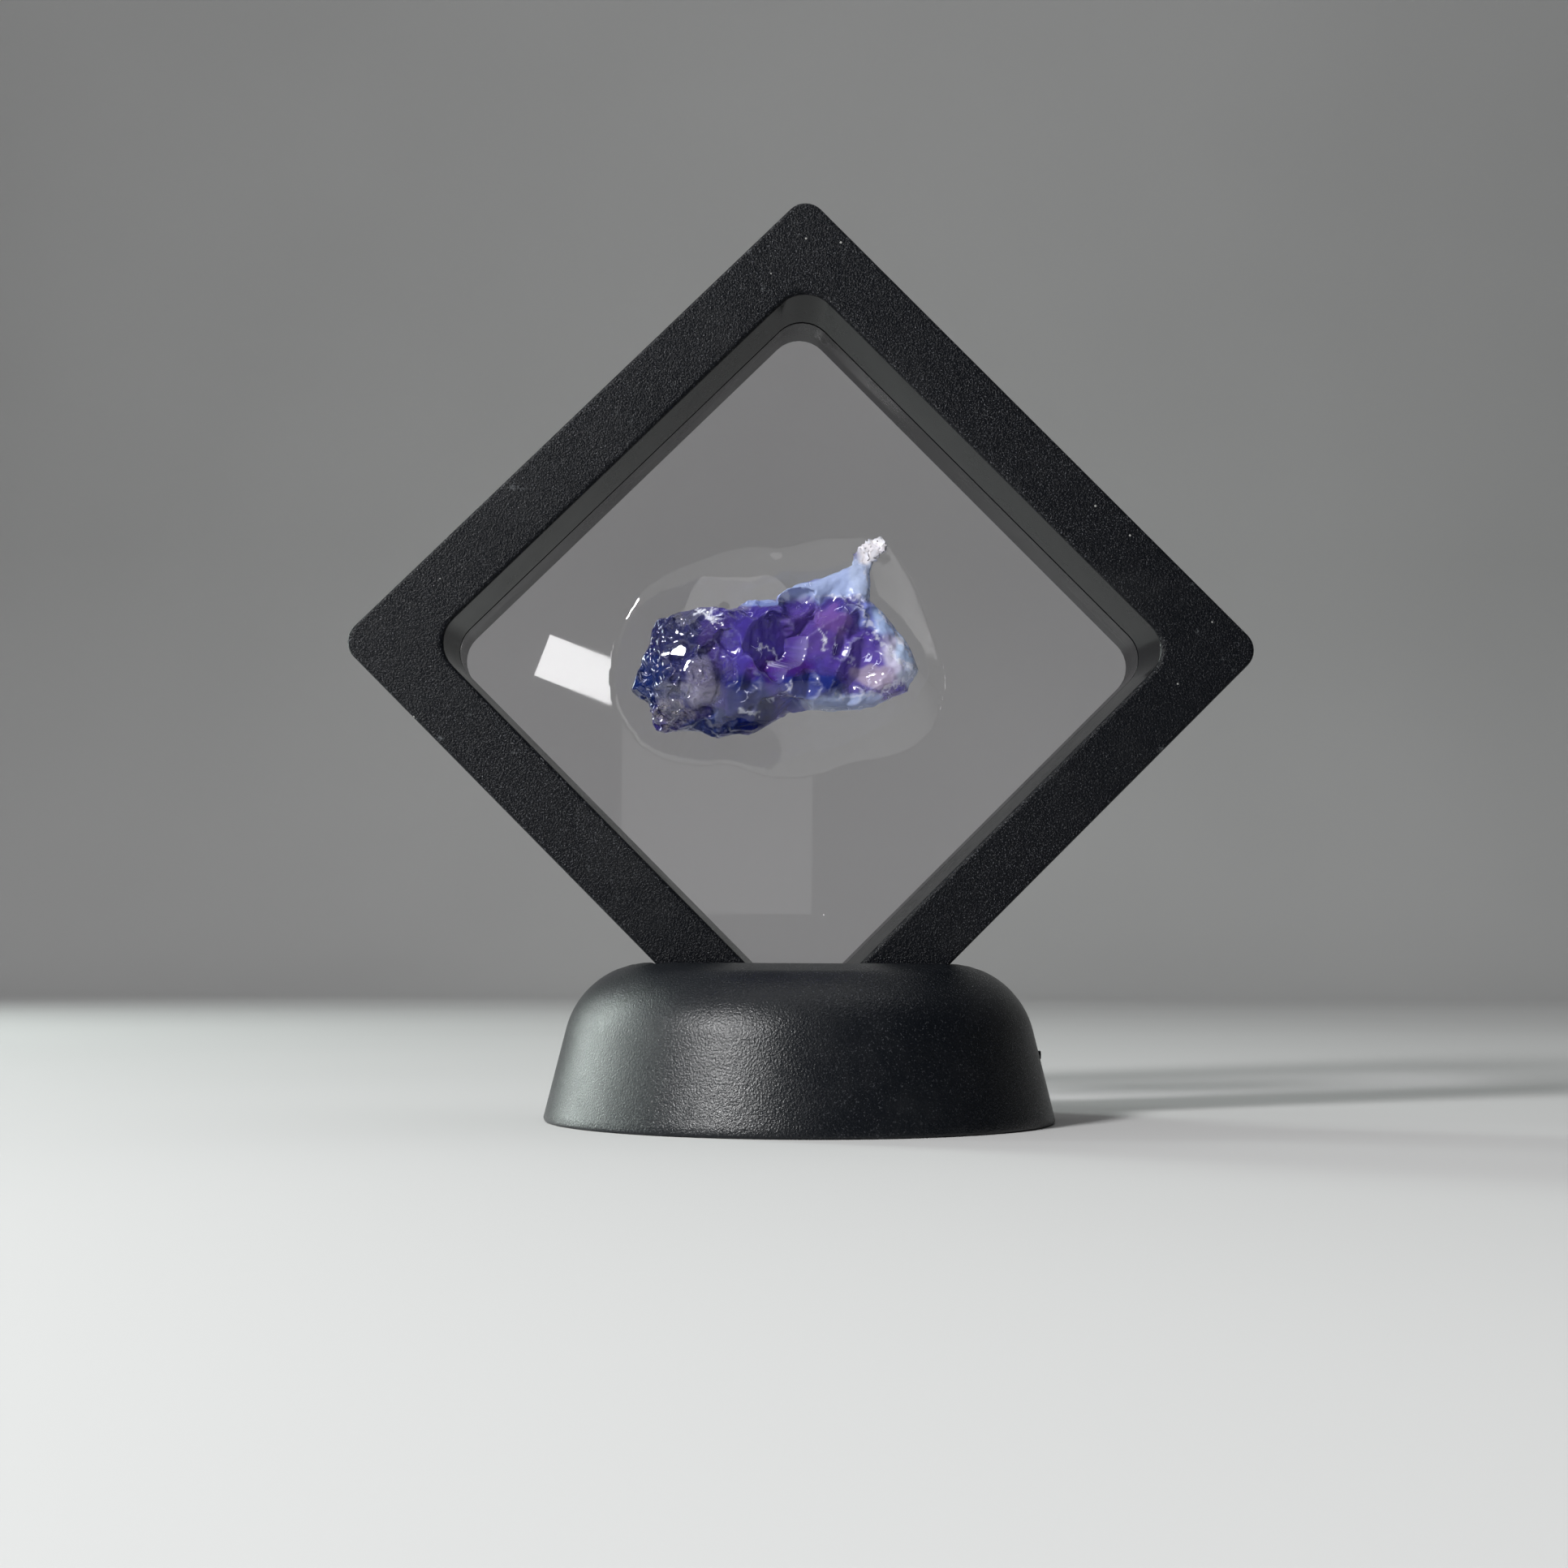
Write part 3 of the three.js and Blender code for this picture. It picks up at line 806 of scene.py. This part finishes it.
# %% Knob
# A dome is raised on the front skin at the left, and three small hollows are carved in it.
KNOB = np.array((-14.3, -4.6))
KNOB_REACH = (2.6, 3.9)
KNOB_LIFT = 1.3
across = np.linalg.norm((points[:, [0, 2]] - KNOB) / KNOB_REACH, axis=1)
dome = np.sqrt(np.clip(1 - across ** 2, 0, 1))
front_skin = points[:, 1] < -1
points[:, 1] -= np.where(front_skin, KNOB_LIFT * dome, 0)
for x, z, radius in [(-13.4, -6.6, 1.1), (-15.0, -3.6, 1.4), (-13.2, -3.0, 0.9)]:
    near = np.argmin(np.where(front_skin, np.hypot(points[:, 0] - x, points[:, 2] - z), 99))
    scoop(near, np.array((0.2, -0.95, 0.1)), radius, 0.3)
print(f"knob raised {KNOB_LIFT} mm, with 3 hollows")

# %% Tip, wedge and crust
# The tip and the wedge go most of the way back to their uncarved shape, and the crust is roughened.
KEPT = 0.85
tip = smoothstep(uncarved[:, 2], 7.6, 9.4) * smoothstep(uncarved[:, 0], -2, 2)
wedge = smoothstep(uncarved[:, 0], 9.5, 12.5)
points += KEPT * np.maximum(tip, wedge)[:, None] * (uncarved - points)
facets(9, 99)
crust = smoothstep(points[:, 2], 12.6, 14.2)[:, None]
points += 0.12 * wavering(0.9) + 0.05 * wavering(2.4)
points += crust * (0.45 * wavering(1.7) + 0.75 * wavering(3.3)) * (1, 0.3, 1)
put_back(bm, points)
bmesh.ops.smooth_vert(bm, verts=bm.verts, factor=0.3, use_axis_x=True, use_axis_y=True, use_axis_z=True)
bm.normal_update()
points = places_of(bm)
normals = np.array([vert.normal for vert in bm.verts])
print("crystal carved:", points.min(axis=0).round(1), points.max(axis=0).round(1), "mm")

# %% Ridges
# A point stands on a ridge where it rises above the mean of its neighbours.
ends = np.array([[vert.index for vert in edge.verts] for edge in bm.edges])
pull = np.zeros_like(points)
shared = np.zeros(len(points))
for near, far in (ends.T, ends.T[::-1]):
    np.add.at(pull, near, points[far])
    np.add.at(shared, near, 1)
raised = np.einsum("ij,ij->i", points - pull / shared[:, None], normals)
ridge = np.clip((raised - 0.012) / 0.03, 0, 1)
print(f"ridges on {100 * ridge.mean():.1f}% of the crystal")

# %% [markdown]
# ## Crystal colour
#
# Blue halite takes its colour from defects in the lattice, so it comes in soft clouds: deep indigo and
# violet in the thick middle, navy below it, smoky lavender at the left, and pale milky blue along the
# top bevel, the tip and the right wedge. The clouds are dabbed on the points as a colour attribute,
# and a second one says how frosted, and so how milky, each place is. Clear places are also
# smoother, so that the left end stays glassy.

# %% Colour dabs
# Each dab is its middle, its half width and height, its colour and how milky it is. Later dabs lie
# over earlier ones, and ridges are paler, partly whitish wear and partly a painted highlight along them.
DABS = [
    ((-2, 0), (30, 20), (0.12, 0.09, 0.50), 0.40),
    ((-17, -1), (7.5, 9), (0.05, 0.055, 0.24), 0.30),
    ((-22, -4), (3.2, 4.5), (0.02, 0.05, 0.26), 0.35),
    ((-18, 3), (4, 3), (0.08, 0.09, 0.28), 0.20),
    ((-11.5, 1), (3, 4), (0.12, 0.08, 0.38), 0.32),
    ((-14.3, -4.6), (2.4, 3.6), (0.46, 0.43, 0.66), 0.20),
    ((-18.2, -9.2), (3.2, 1.6), (0.93, 0.86, 0.93), 0.0),
    ((-12, -10.4), (5, 1.7), (0.06, 0.10, 0.36), 0.40),
    ((-4, 1), (8, 6.5), (0.11, 0.07, 0.54), 0.52),
    ((-3, -3), (5, 3.5), (0.12, 0.03, 0.40), 0.46),
    ((2, 3), (6, 4.5), (0.18, 0.10, 0.54), 0.52),
    ((4.5, 4.5), (3, 2.2), (0.26, 0.13, 0.54), 0.52),
    ((-7.5, -7.4), (4.4, 4.6), (0.002, 0.012, 0.17), 0.80),
    ((1, -5.2), (5.5, 2.2), (0.025, 0.05, 0.38), 0.60),
    ((8, -1), (5, 4.5), (0.16, 0.09, 0.58), 0.52),
    ((2, 9.4), (7.5, 1.8), (0.48, 0.60, 0.95), 0.82),
    ((5.5, 10.9), (4.5, 2.6), (0.50, 0.62, 0.96), 0.82),
    ((-6, 7.4), (3.5, 1.0), (0.30, 0.40, 0.80), 0.62),
    ((9, 11), (2.6, 4.5), (0.60, 0.72, 1.0), 0.84),
    ((10.5, 5.5), (2.6, 2.2), (0.28, 0.34, 0.85), 0.66),
    ((13.5, -0.3), (2.8, 3.8), (0.80, 0.78, 1.0), 0.80),
    ((10.4, -3.4), (3.4, 1.8), (0.84, 0.70, 0.95), 0.35),
    ((12.6, 5.6), (2.4, 3.2), (0.50, 0.66, 1.0), 0.82),
    ((15, 2.2), (2.0, 4.4), (0.60, 0.76, 1.0), 0.82),
    ((7.5, -7.2), (8.5, 1.5), (0.50, 0.62, 0.96), 0.78),
    ((16, -3), (2, 2.4), (0.72, 0.82, 1.0), 0.80),
    ((10.2, 15.8), (3.4, 2.4), (0.95, 0.92, 0.95), 1.0),
]
PALE_RIDGE_AND_HIGHLIGHT = np.array((0.80, 0.86, 1.0))
wander = wavering(0.45)
tint = np.zeros((len(points), 3))
milk = np.zeros(len(points))
for middle, size, colour, milky in DABS:
    offset = (points[:, [0, 2]] + 1.3 * wander[:, [0, 2]] - middle) / size
    cover = 1 - smoothstep(np.linalg.norm(offset, axis=1), 0.65, 1.15)
    tint += cover[:, None] * (np.array(colour) - tint)
    milk += cover * (milky - milk)
# Paler ridges, more so towards the right: partly whitish wear, partly a painted highlight along the edges.
pale = 0.4 * ridge * (0.30 + 0.70 * smoothstep(points[:, 0], -4, 9))
tint += pale[:, None] * (PALE_RIDGE_AND_HIGHLIGHT - tint)
milk += pale * (0.85 - milk)
print(len(DABS), "dabs; mean milkiness", milk.mean().round(2))

# %% Seams
# Fresh cracks and knife-edge ridges show as thin white lines painted on the colour, and the three lines
# that branch from (-13.2, 5.2) are a painted highlight, a branched glint; each is two ends and how strong it
# is.
SEAMS_AND_PAINTED_GLINTS = [
    ((9.9, 8.0), (13.1, 3.7), 1.0), ((13.1, 3.7), (16.8, -2.0), 1.0), ((9.3, 12.6), (9.9, 8.0), 0.8),
    ((8.2, 7.2), (10.4, 2.6), 0.7), ((10.4, 2.6), (13.8, -1.0), 0.7), ((13.8, -1.0), (16.6, -2.2), 0.9),
    ((16.5, -2.4), (11.6, -5.4), 0.7), ((11.6, -5.4), (5.0, -6.4), 0.5), ((-1.9, 7.6), (4.0, 8.3), 0.4),
    ((4.0, 8.3), (8.6, 8.0), 0.6), ((-6.2, 0.2), (-5.0, 0.9), 0.8), ((-5.0, 0.9), (-3.2, -0.4), 1.0),
    ((-4.8, -1.2), (-3.6, -1.6), 0.8), ((2.2, 3.2), (3.4, 1.6), 0.8), ((3.4, 1.6), (2.9, 0.2), 0.7),
    # The last two lines of this row and the first of the next, branching from (-13.2, 5.2), are a painted
    # highlight.
    ((-1.7, -4.8), (-2.4, -6.0), 0.8), ((-15.3, 6.0), (-13.2, 5.2), 1.0), ((-13.2, 5.2), (-12.3, 4.1), 1.0),
    ((-13.2, 5.2), (-12.6, 6.2), 0.8), ((-9.0, -8.4), (-6.4, -8.9), 0.6), ((6.0, 0.4), (7.4, -1.6), 0.5),
]
SEAM_AND_GLINT_WHITE = np.array((0.86, 0.90, 1.0))
jagged = points[:, [0, 2]] + 0.9 * wavering(1.6)[:, [0, 2]]
on_front = smoothstep(-points[:, 1], 0.2, 1.2)
# Each line whitens the colour and makes it milkier; the branched three are a painted highlight.
for start, end, strength in SEAMS_AND_PAINTED_GLINTS:
    start, along = np.array(start), np.array(end) - np.array(start)
    share = np.clip((jagged - start) @ along / (along @ along), 0, 1)
    apart = np.linalg.norm(jagged - start - share[:, None] * along, axis=1)
    seam_and_glint = strength * on_front * (1 - smoothstep(apart, 0.10, 0.38))
    tint += seam_and_glint[:, None] * (SEAM_AND_GLINT_WHITE - tint)
    milk += seam_and_glint * (0.9 - milk)
print(len(SEAMS_AND_PAINTED_GLINTS), "seams")

# %% Crystal finish


def blue_halite():
    """Clear to milky halite, tinted by the dabs, with pale veins and a fine damp ripple."""
    made, tree, shader = material_of("blue_halite")
    place = node(tree, "ShaderNodeTexCoord").outputs["Object"]
    dabs = node(tree, "ShaderNodeAttribute", {"attribute_name": "tint"}).outputs["Color"]
    frost = node(tree, "ShaderNodeAttribute", {"attribute_name": "milk"}).outputs["Fac"]

    def cloud_of(scale, detail, distortion=0.0):
        made = node(tree, "ShaderNodeTexNoise", i0=place)
        made.inputs["Scale"].default_value = scale
        made.inputs["Detail"].default_value = detail
        made.inputs["Distortion"].default_value = distortion
        return made.outputs["Fac"]

    line = maths(tree, "ABSOLUTE", maths(tree, "SUBTRACT", cloud_of(240, 4, 0.8), 0.5))
    vein = ramp(tree, line, [(0.0, grey(1)), (0.006, grey(0.8)), (0.014, grey(0))])
    some = ramp(tree, cloud_of(330, 2), [(0.60, grey(0)), (0.68, grey(1))])
    veins = maths(tree, "MULTIPLY", vein, some)
    cloud = cloud_of(260, 5)

    shade = ramp(tree, cloud, [(0.3, grey(0.72)), (0.7, grey(1.0))])
    coloured = mixed(tree, 1.0, dabs, shade, "MULTIPLY")
    tree.links.new(mixed(tree, maths(tree, "MULTIPLY", veins, 0.85), coloured, (0.78, 0.82, 0.98, 1)),
                   shader.inputs["Base Color"])
    cloudy = maths(tree, "ADD", maths(tree, "MULTIPLY", frost, 0.85), maths(tree, "MULTIPLY", veins, 0.6),
                   clamp=True)
    tree.links.new(maths(tree, "SUBTRACT", 1.0, cloudy), shader.inputs["Transmission Weight"])
    rough = maths(tree, "ADD", maths(tree, "MULTIPLY", frost, 0.30), maths(tree, "MULTIPLY", veins, 0.2))
    tree.links.new(maths(tree, "ADD", rough, 0.02), shader.inputs["Roughness"])
    shader.inputs["IOR"].default_value = 1.54
    shader.inputs["Specular IOR Level"].default_value = 0.18

    fine = node(tree, "ShaderNodeTexNoise", i0=place)
    fine.inputs["Scale"].default_value = 900
    fine.inputs["Detail"].default_value = 4
    ripple = maths(tree, "ADD", maths(tree, "MULTIPLY", frost, 0.7), 0.06)
    bump = node(tree, "ShaderNodeBump", Height=fine.outputs["Fac"], Strength=ripple)
    bump.inputs["Distance"].default_value = 0.14 * MM
    tree.links.new(bump.outputs["Normal"], shader.inputs["Normal"])
    return made


crystal = piece("halite_lump", bm, "frame", "halite_crystal", [blue_halite()], sharp=60)
colours = crystal.data.attributes.new("tint", "FLOAT_COLOR", "POINT")
colours.data.foreach_set("color", np.column_stack((tint, np.ones(len(tint)))).astype(np.float32).ravel())
crystal.data.attributes.new("milk", "FLOAT", "POINT").data.foreach_set("value", milk.astype(np.float32))

# %% [markdown]
# ## Films
#
# Each half of the frame holds a clear elastic film. Where nothing is between them the two cling
# together, and over the crystal they lift off along a soft halo line and drape from edge to ridge.
# A stretched film is the smallest surface over what it touches, so its height is relaxed like a
# soap film: every point takes the mean of its neighbours but may not sink into the crystal.

# %% Halo
FILM_POINTS = 185
REST = 0.03
# The halo line's points are millimetres from the frame's centre, along X and up.
HALO = [(-26.3, -6.3), (-23.3, 7.6), (-14.5, 12.8), (-2.6, 14.7), (7.3, 16.6), (12.4, 15.6), (15.9, 10.3),
        (18.2, 3.4), (20.4, -3.0), (18.9, -10.0), (15.1, -13.1), (7.3, -14.3), (-9.9, -14.6), (-21.4, -13.4)]
half = FILM_HALF / MM
grid_line = np.linspace(-half, half, FILM_POINTS)
along, up = np.meshgrid(grid_line, grid_line, indexing="ij")
film_x, film_z = (along - up) / ROOT2, (along + up) / ROOT2

offset_x, offset_z = film_x - CRYSTAL_MIDDLE.x, film_z - CRYSTAL_MIDDLE.y
halo = np.array(HALO) - np.array(CRYSTAL_MIDDLE)
halo_turn = np.arctan2(halo[:, 1], halo[:, 0])
order = np.argsort(halo_turn)
turns = np.linspace(-math.pi, math.pi, 361)
reaches = np.interp(turns, halo_turn[order], np.hypot(*halo.T)[order], period=2 * math.pi)
blur = np.hanning(23) / np.hanning(23).sum()
soft_reaches = np.convolve(np.tile(reaches[:-1], 3), blur, "same")[360:721]
lifted = np.hypot(offset_x, offset_z) < np.interp(np.arctan2(offset_z, offset_x), turns, soft_reaches)
print(f"each film lifts off over {100 * lifted.mean():.0f}% of its area")

# %% Film heights


def film_height(side, clearance=0.12, rounds=900):
    """The relaxed film's distance from the middle plane, in millimetres, at every film point."""
    over = points[points[:, 1] * side > 0]
    cell = (half * 2) / (FILM_POINTS - 1)
    i = np.rint(((over[:, 0] + over[:, 2]) / ROOT2 + half) / cell).astype(int)
    j = np.rint(((over[:, 2] - over[:, 0]) / ROOT2 + half) / cell).astype(int)
    touch = np.zeros_like(film_x)
    for shift_i in (-1, 0, 1):
        for shift_j in (-1, 0, 1):
            np.maximum.at(touch, (i + shift_i, j + shift_j), over[:, 1] * side + clearance)
    height = touch.copy()
    for _ in range(rounds):
        mean = (np.roll(height, 1, 0) + np.roll(height, -1, 0) + np.roll(height, 1, 1)
                + np.roll(height, -1, 1)) / 4
        height = np.where(lifted, np.maximum(mean, touch), 0)
    return height + REST


# %% [markdown]
# ## Film finish
#
# The film is polyurethane a tenth of a millimetre thick. It bends almost no light, so plain
# transparency with a Fresnel gloss is truer than glass, and a faint haze with a few dust specks
# keeps it from vanishing. Light that bounces off other pieces passes the films by, because all they
# would add to it is noise.

# %% Film finish


def clear_film():
    """A clear shader mixed with gloss by the angle, under a few specks of lint."""
    made, tree, shader = material_of("clear_film")
    place = node(tree, "ShaderNodeTexCoord").outputs["Object"]
    clear = node(tree, "ShaderNodeBsdfTransparent", Color=(0.985, 0.98, 0.985, 1))
    gloss = node(tree, "ShaderNodeBsdfGlossy", Color=(1, 1, 1, 1))
    haze = node(tree, "ShaderNodeTexNoise", i0=place)
    haze.inputs["Scale"].default_value = 60
    haze.inputs["Detail"].default_value = 5
    tree.links.new(ramp(tree, haze.outputs["Fac"], [(0.35, grey(0.0)), (0.75, grey(0.035))]),
                   gloss.inputs["Roughness"])
    facing = node(tree, "ShaderNodeLayerWeight", Blend=0.5).outputs["Facing"]
    grazing = maths(tree, "MULTIPLY", maths(tree, "POWER", facing, 5.0), 0.9)
    fresnel = maths(tree, "ADD", grazing, 0.028)
    both = node(tree, "ShaderNodeMixShader", i0=fresnel, i1=clear.outputs[0], i2=gloss.outputs[0])

    speck = node(tree, "ShaderNodeTexVoronoi", {"feature": "F1"}, i0=place)
    speck.inputs["Scale"].default_value = 300
    chosen = node(tree, "ShaderNodeSeparateColor", i0=speck.outputs["Color"]).outputs[0]
    dust = maths(tree, "MULTIPLY", maths(tree, "LESS_THAN", chosen, 0.02),
                 maths(tree, "LESS_THAN", speck.outputs["Distance"], 0.05))
    lint = node(tree, "ShaderNodeBsdfDiffuse", Color=(0.8, 0.8, 0.8, 1))
    dusty = node(tree, "ShaderNodeMixShader", i0=dust, i1=both.outputs[0], i2=lint.outputs[0])
    output = next(item for item in tree.nodes if item.type == "OUTPUT_MATERIAL")
    tree.links.new(dusty.outputs[0], output.inputs["Surface"])
    tree.nodes.remove(shader)
    return made


film_material = clear_film()
print("film:", film_material.name)

# %% Films
FILM_TRIM = 1.2 * MM


def stretched_film(name, node_name, side):
    """A grid lifted to the film's heights, turned to stand on one corner, and trimmed at its corners."""
    height = film_height(side)
    bm = bmesh.new()
    bmesh.ops.create_grid(bm, x_segments=FILM_POINTS - 1, y_segments=FILM_POINTS - 1, size=FILM_HALF)
    cell = 2 * FILM_HALF / (FILM_POINTS - 1)
    lift = {vert: height[round((vert.co.x + FILM_HALF) / cell), round((vert.co.y + FILM_HALF) / cell)]
            for vert in bm.verts}
    for vert in bm.verts:
        vert.co.z = lift[vert] * MM
    bmesh.ops.rotate(bm, verts=bm.verts, cent=(0, 0, 0), matrix=Matrix.Rotation(math.pi / 4, 3, "Z"))
    bmesh.ops.rotate(bm, verts=bm.verts, cent=(0, 0, 0), matrix=Matrix.Rotation(math.pi / 2, 3, "X"))
    if side > 0:
        for vert in bm.verts:
            vert.co.y = -vert.co.y
    bmesh.ops.translate(bm, verts=bm.verts, vec=CENTRE)
    cut = (FILM_HALF - FILM_TRIM) * ROOT2
    for x, z in [(1, 0), (-1, 0), (0, 1), (0, -1)]:
        outward = Vector((x, 0, z))
        bmesh.ops.bisect_plane(bm, geom=list(bm.verts) + list(bm.edges) + list(bm.faces),
                               plane_co=CENTRE + outward * cut, plane_no=outward, clear_outer=True)
    made = piece(name, bm, "frame", node_name, [film_material], sharp=180)
    thick = made.modifiers.new("film thickness", "SOLIDIFY")
    thick.thickness = FILM_THICKNESS
    thick.offset = 1 if made.data.polygons[0].normal.y * side > 0 else -1
    made.visible_diffuse = False
    made.visible_glossy = False
    print(f"{name}: lifts {height.max():.2f} mm")
    return made


front_sheet = stretched_film("front_film_sheet", "front_film", -1)
rear_sheet = stretched_film("rear_film_sheet", "rear_film", 1)

# %% [markdown]
# ## Floor and light
#
# The set is a pale floor that curves up into a pale wall, well behind the stand. A key shines from
# the upper left, two cool strips at the left and behind it draw the rim, and a wide ceiling fills
# the room. A small lamp and a panel stand in front, where the films mirror them.

# %% Floor


def pale_floor():
    made, tree, shader = material_of("pale_floor")
    place = node(tree, "ShaderNodeTexCoord").outputs["Object"]
    cloudy = node(tree, "ShaderNodeTexNoise", i0=place)
    cloudy.inputs["Scale"].default_value = 3
    tree.links.new(ramp(tree, cloudy.outputs["Fac"], [(0.3, grey(0.45)), (0.7, grey(0.48))]),
                   shader.inputs["Base Color"])
    shader.inputs["Roughness"].default_value = 0.75
    return made


FLOOR_FRONT, FLOOR_BACK = -4.5, 1.1
FLOOR_HALF_WIDTH = 5
SWEEP = 0.35
WALL_TOP = 3.4
bends = [(FLOOR_BACK + SWEEP * math.sin(turn), SWEEP * (1 - math.cos(turn)))
         for turn in np.linspace(0, math.pi / 2, 12)]
profile = [(FLOOR_FRONT, 0), *bends, (FLOOR_BACK + SWEEP, WALL_TOP)]
bm = bmesh.new()
line = [bm.verts.new((-FLOOR_HALF_WIDTH, y, z)) for y, z in profile]
line_edges = [bm.edges.new(pair) for pair in zip(line, line[1:])]
wide = bmesh.ops.extrude_edge_only(bm, edges=line_edges)["geom"]
far_line = [item for item in wide if isinstance(item, bmesh.types.BMVert)]
bmesh.ops.translate(bm, verts=far_line, vec=(2 * FLOOR_HALF_WIDTH, 0, 0))
for face in bm.faces:
    face.smooth = True
floor_mesh = bpy.data.meshes.new("floor")
bm.to_mesh(floor_mesh)
bm.free()
floor = bpy.data.objects.new("floor", floor_mesh)
bpy.context.collection.objects.link(floor)
floor_mesh.materials.append(pale_floor())
print(f"floor {FLOOR_BACK - FLOOR_FRONT:.1f} m deep, wall {WALL_TOP} m high")

# %% Light


def soft_light(name, place, power, width, height, colour=(1, 1, 1), target=CENTRE):
    """A rectangular lamp of some watts, turned towards its target."""
    data = bpy.data.lights.new(name, "AREA")
    data.shape = "RECTANGLE"
    data.size = width
    data.size_y = height
    data.energy = power
    data.color = colour
    light = bpy.data.objects.new(name, data)
    light.location = place
    light.rotation_euler = (Vector(target) - Vector(place)).to_track_quat("-Z", "Y").to_euler()
    bpy.context.collection.objects.link(light)
    return light


def around(azimuth, elevation, reach):
    """A place by its azimuth from the front, towards +X, and its elevation from the frame's centre."""
    turn, lift = math.radians(azimuth), math.radians(elevation)
    return CENTRE + reach * Vector((math.sin(turn) * math.cos(lift), -math.cos(turn) * math.cos(lift),
                                    math.sin(lift)))


COOL = (0.90, 1.0, 0.95)
soft_light("key", around(-42, 28, 0.8), 9.0, 0.13, 0.13)
soft_light("rim", around(-122, 14, 0.8), 5.0, 0.12, 0.5, COOL)
soft_light("side", around(-92, 6, 0.8), 2.2, 0.08, 0.4, COOL)
soft_light("ceiling", (0, 0.2, 2.4), 21, 2.4, 2.4, target=(0, 0.2, 0))
lamp = soft_light("camera_lamp", (-0.065, -0.6, 0.142), 0.012, 0.034, 0.018)
lamp.rotation_euler.rotate_axis("Z", math.radians(-20))
soft_light("panel", (-0.005, -1.2, 0.12), 0.016, 0.13, 0.13, target=(0, 0, 0.07))

world = bpy.data.worlds.new("pale_room")
bpy.context.scene.world = world
world.use_nodes = True
background = world.node_tree.nodes["Background"]
background.inputs["Color"].default_value = (0.80, 0.80, 0.82, 1)
background.inputs["Strength"].default_value = 0.05
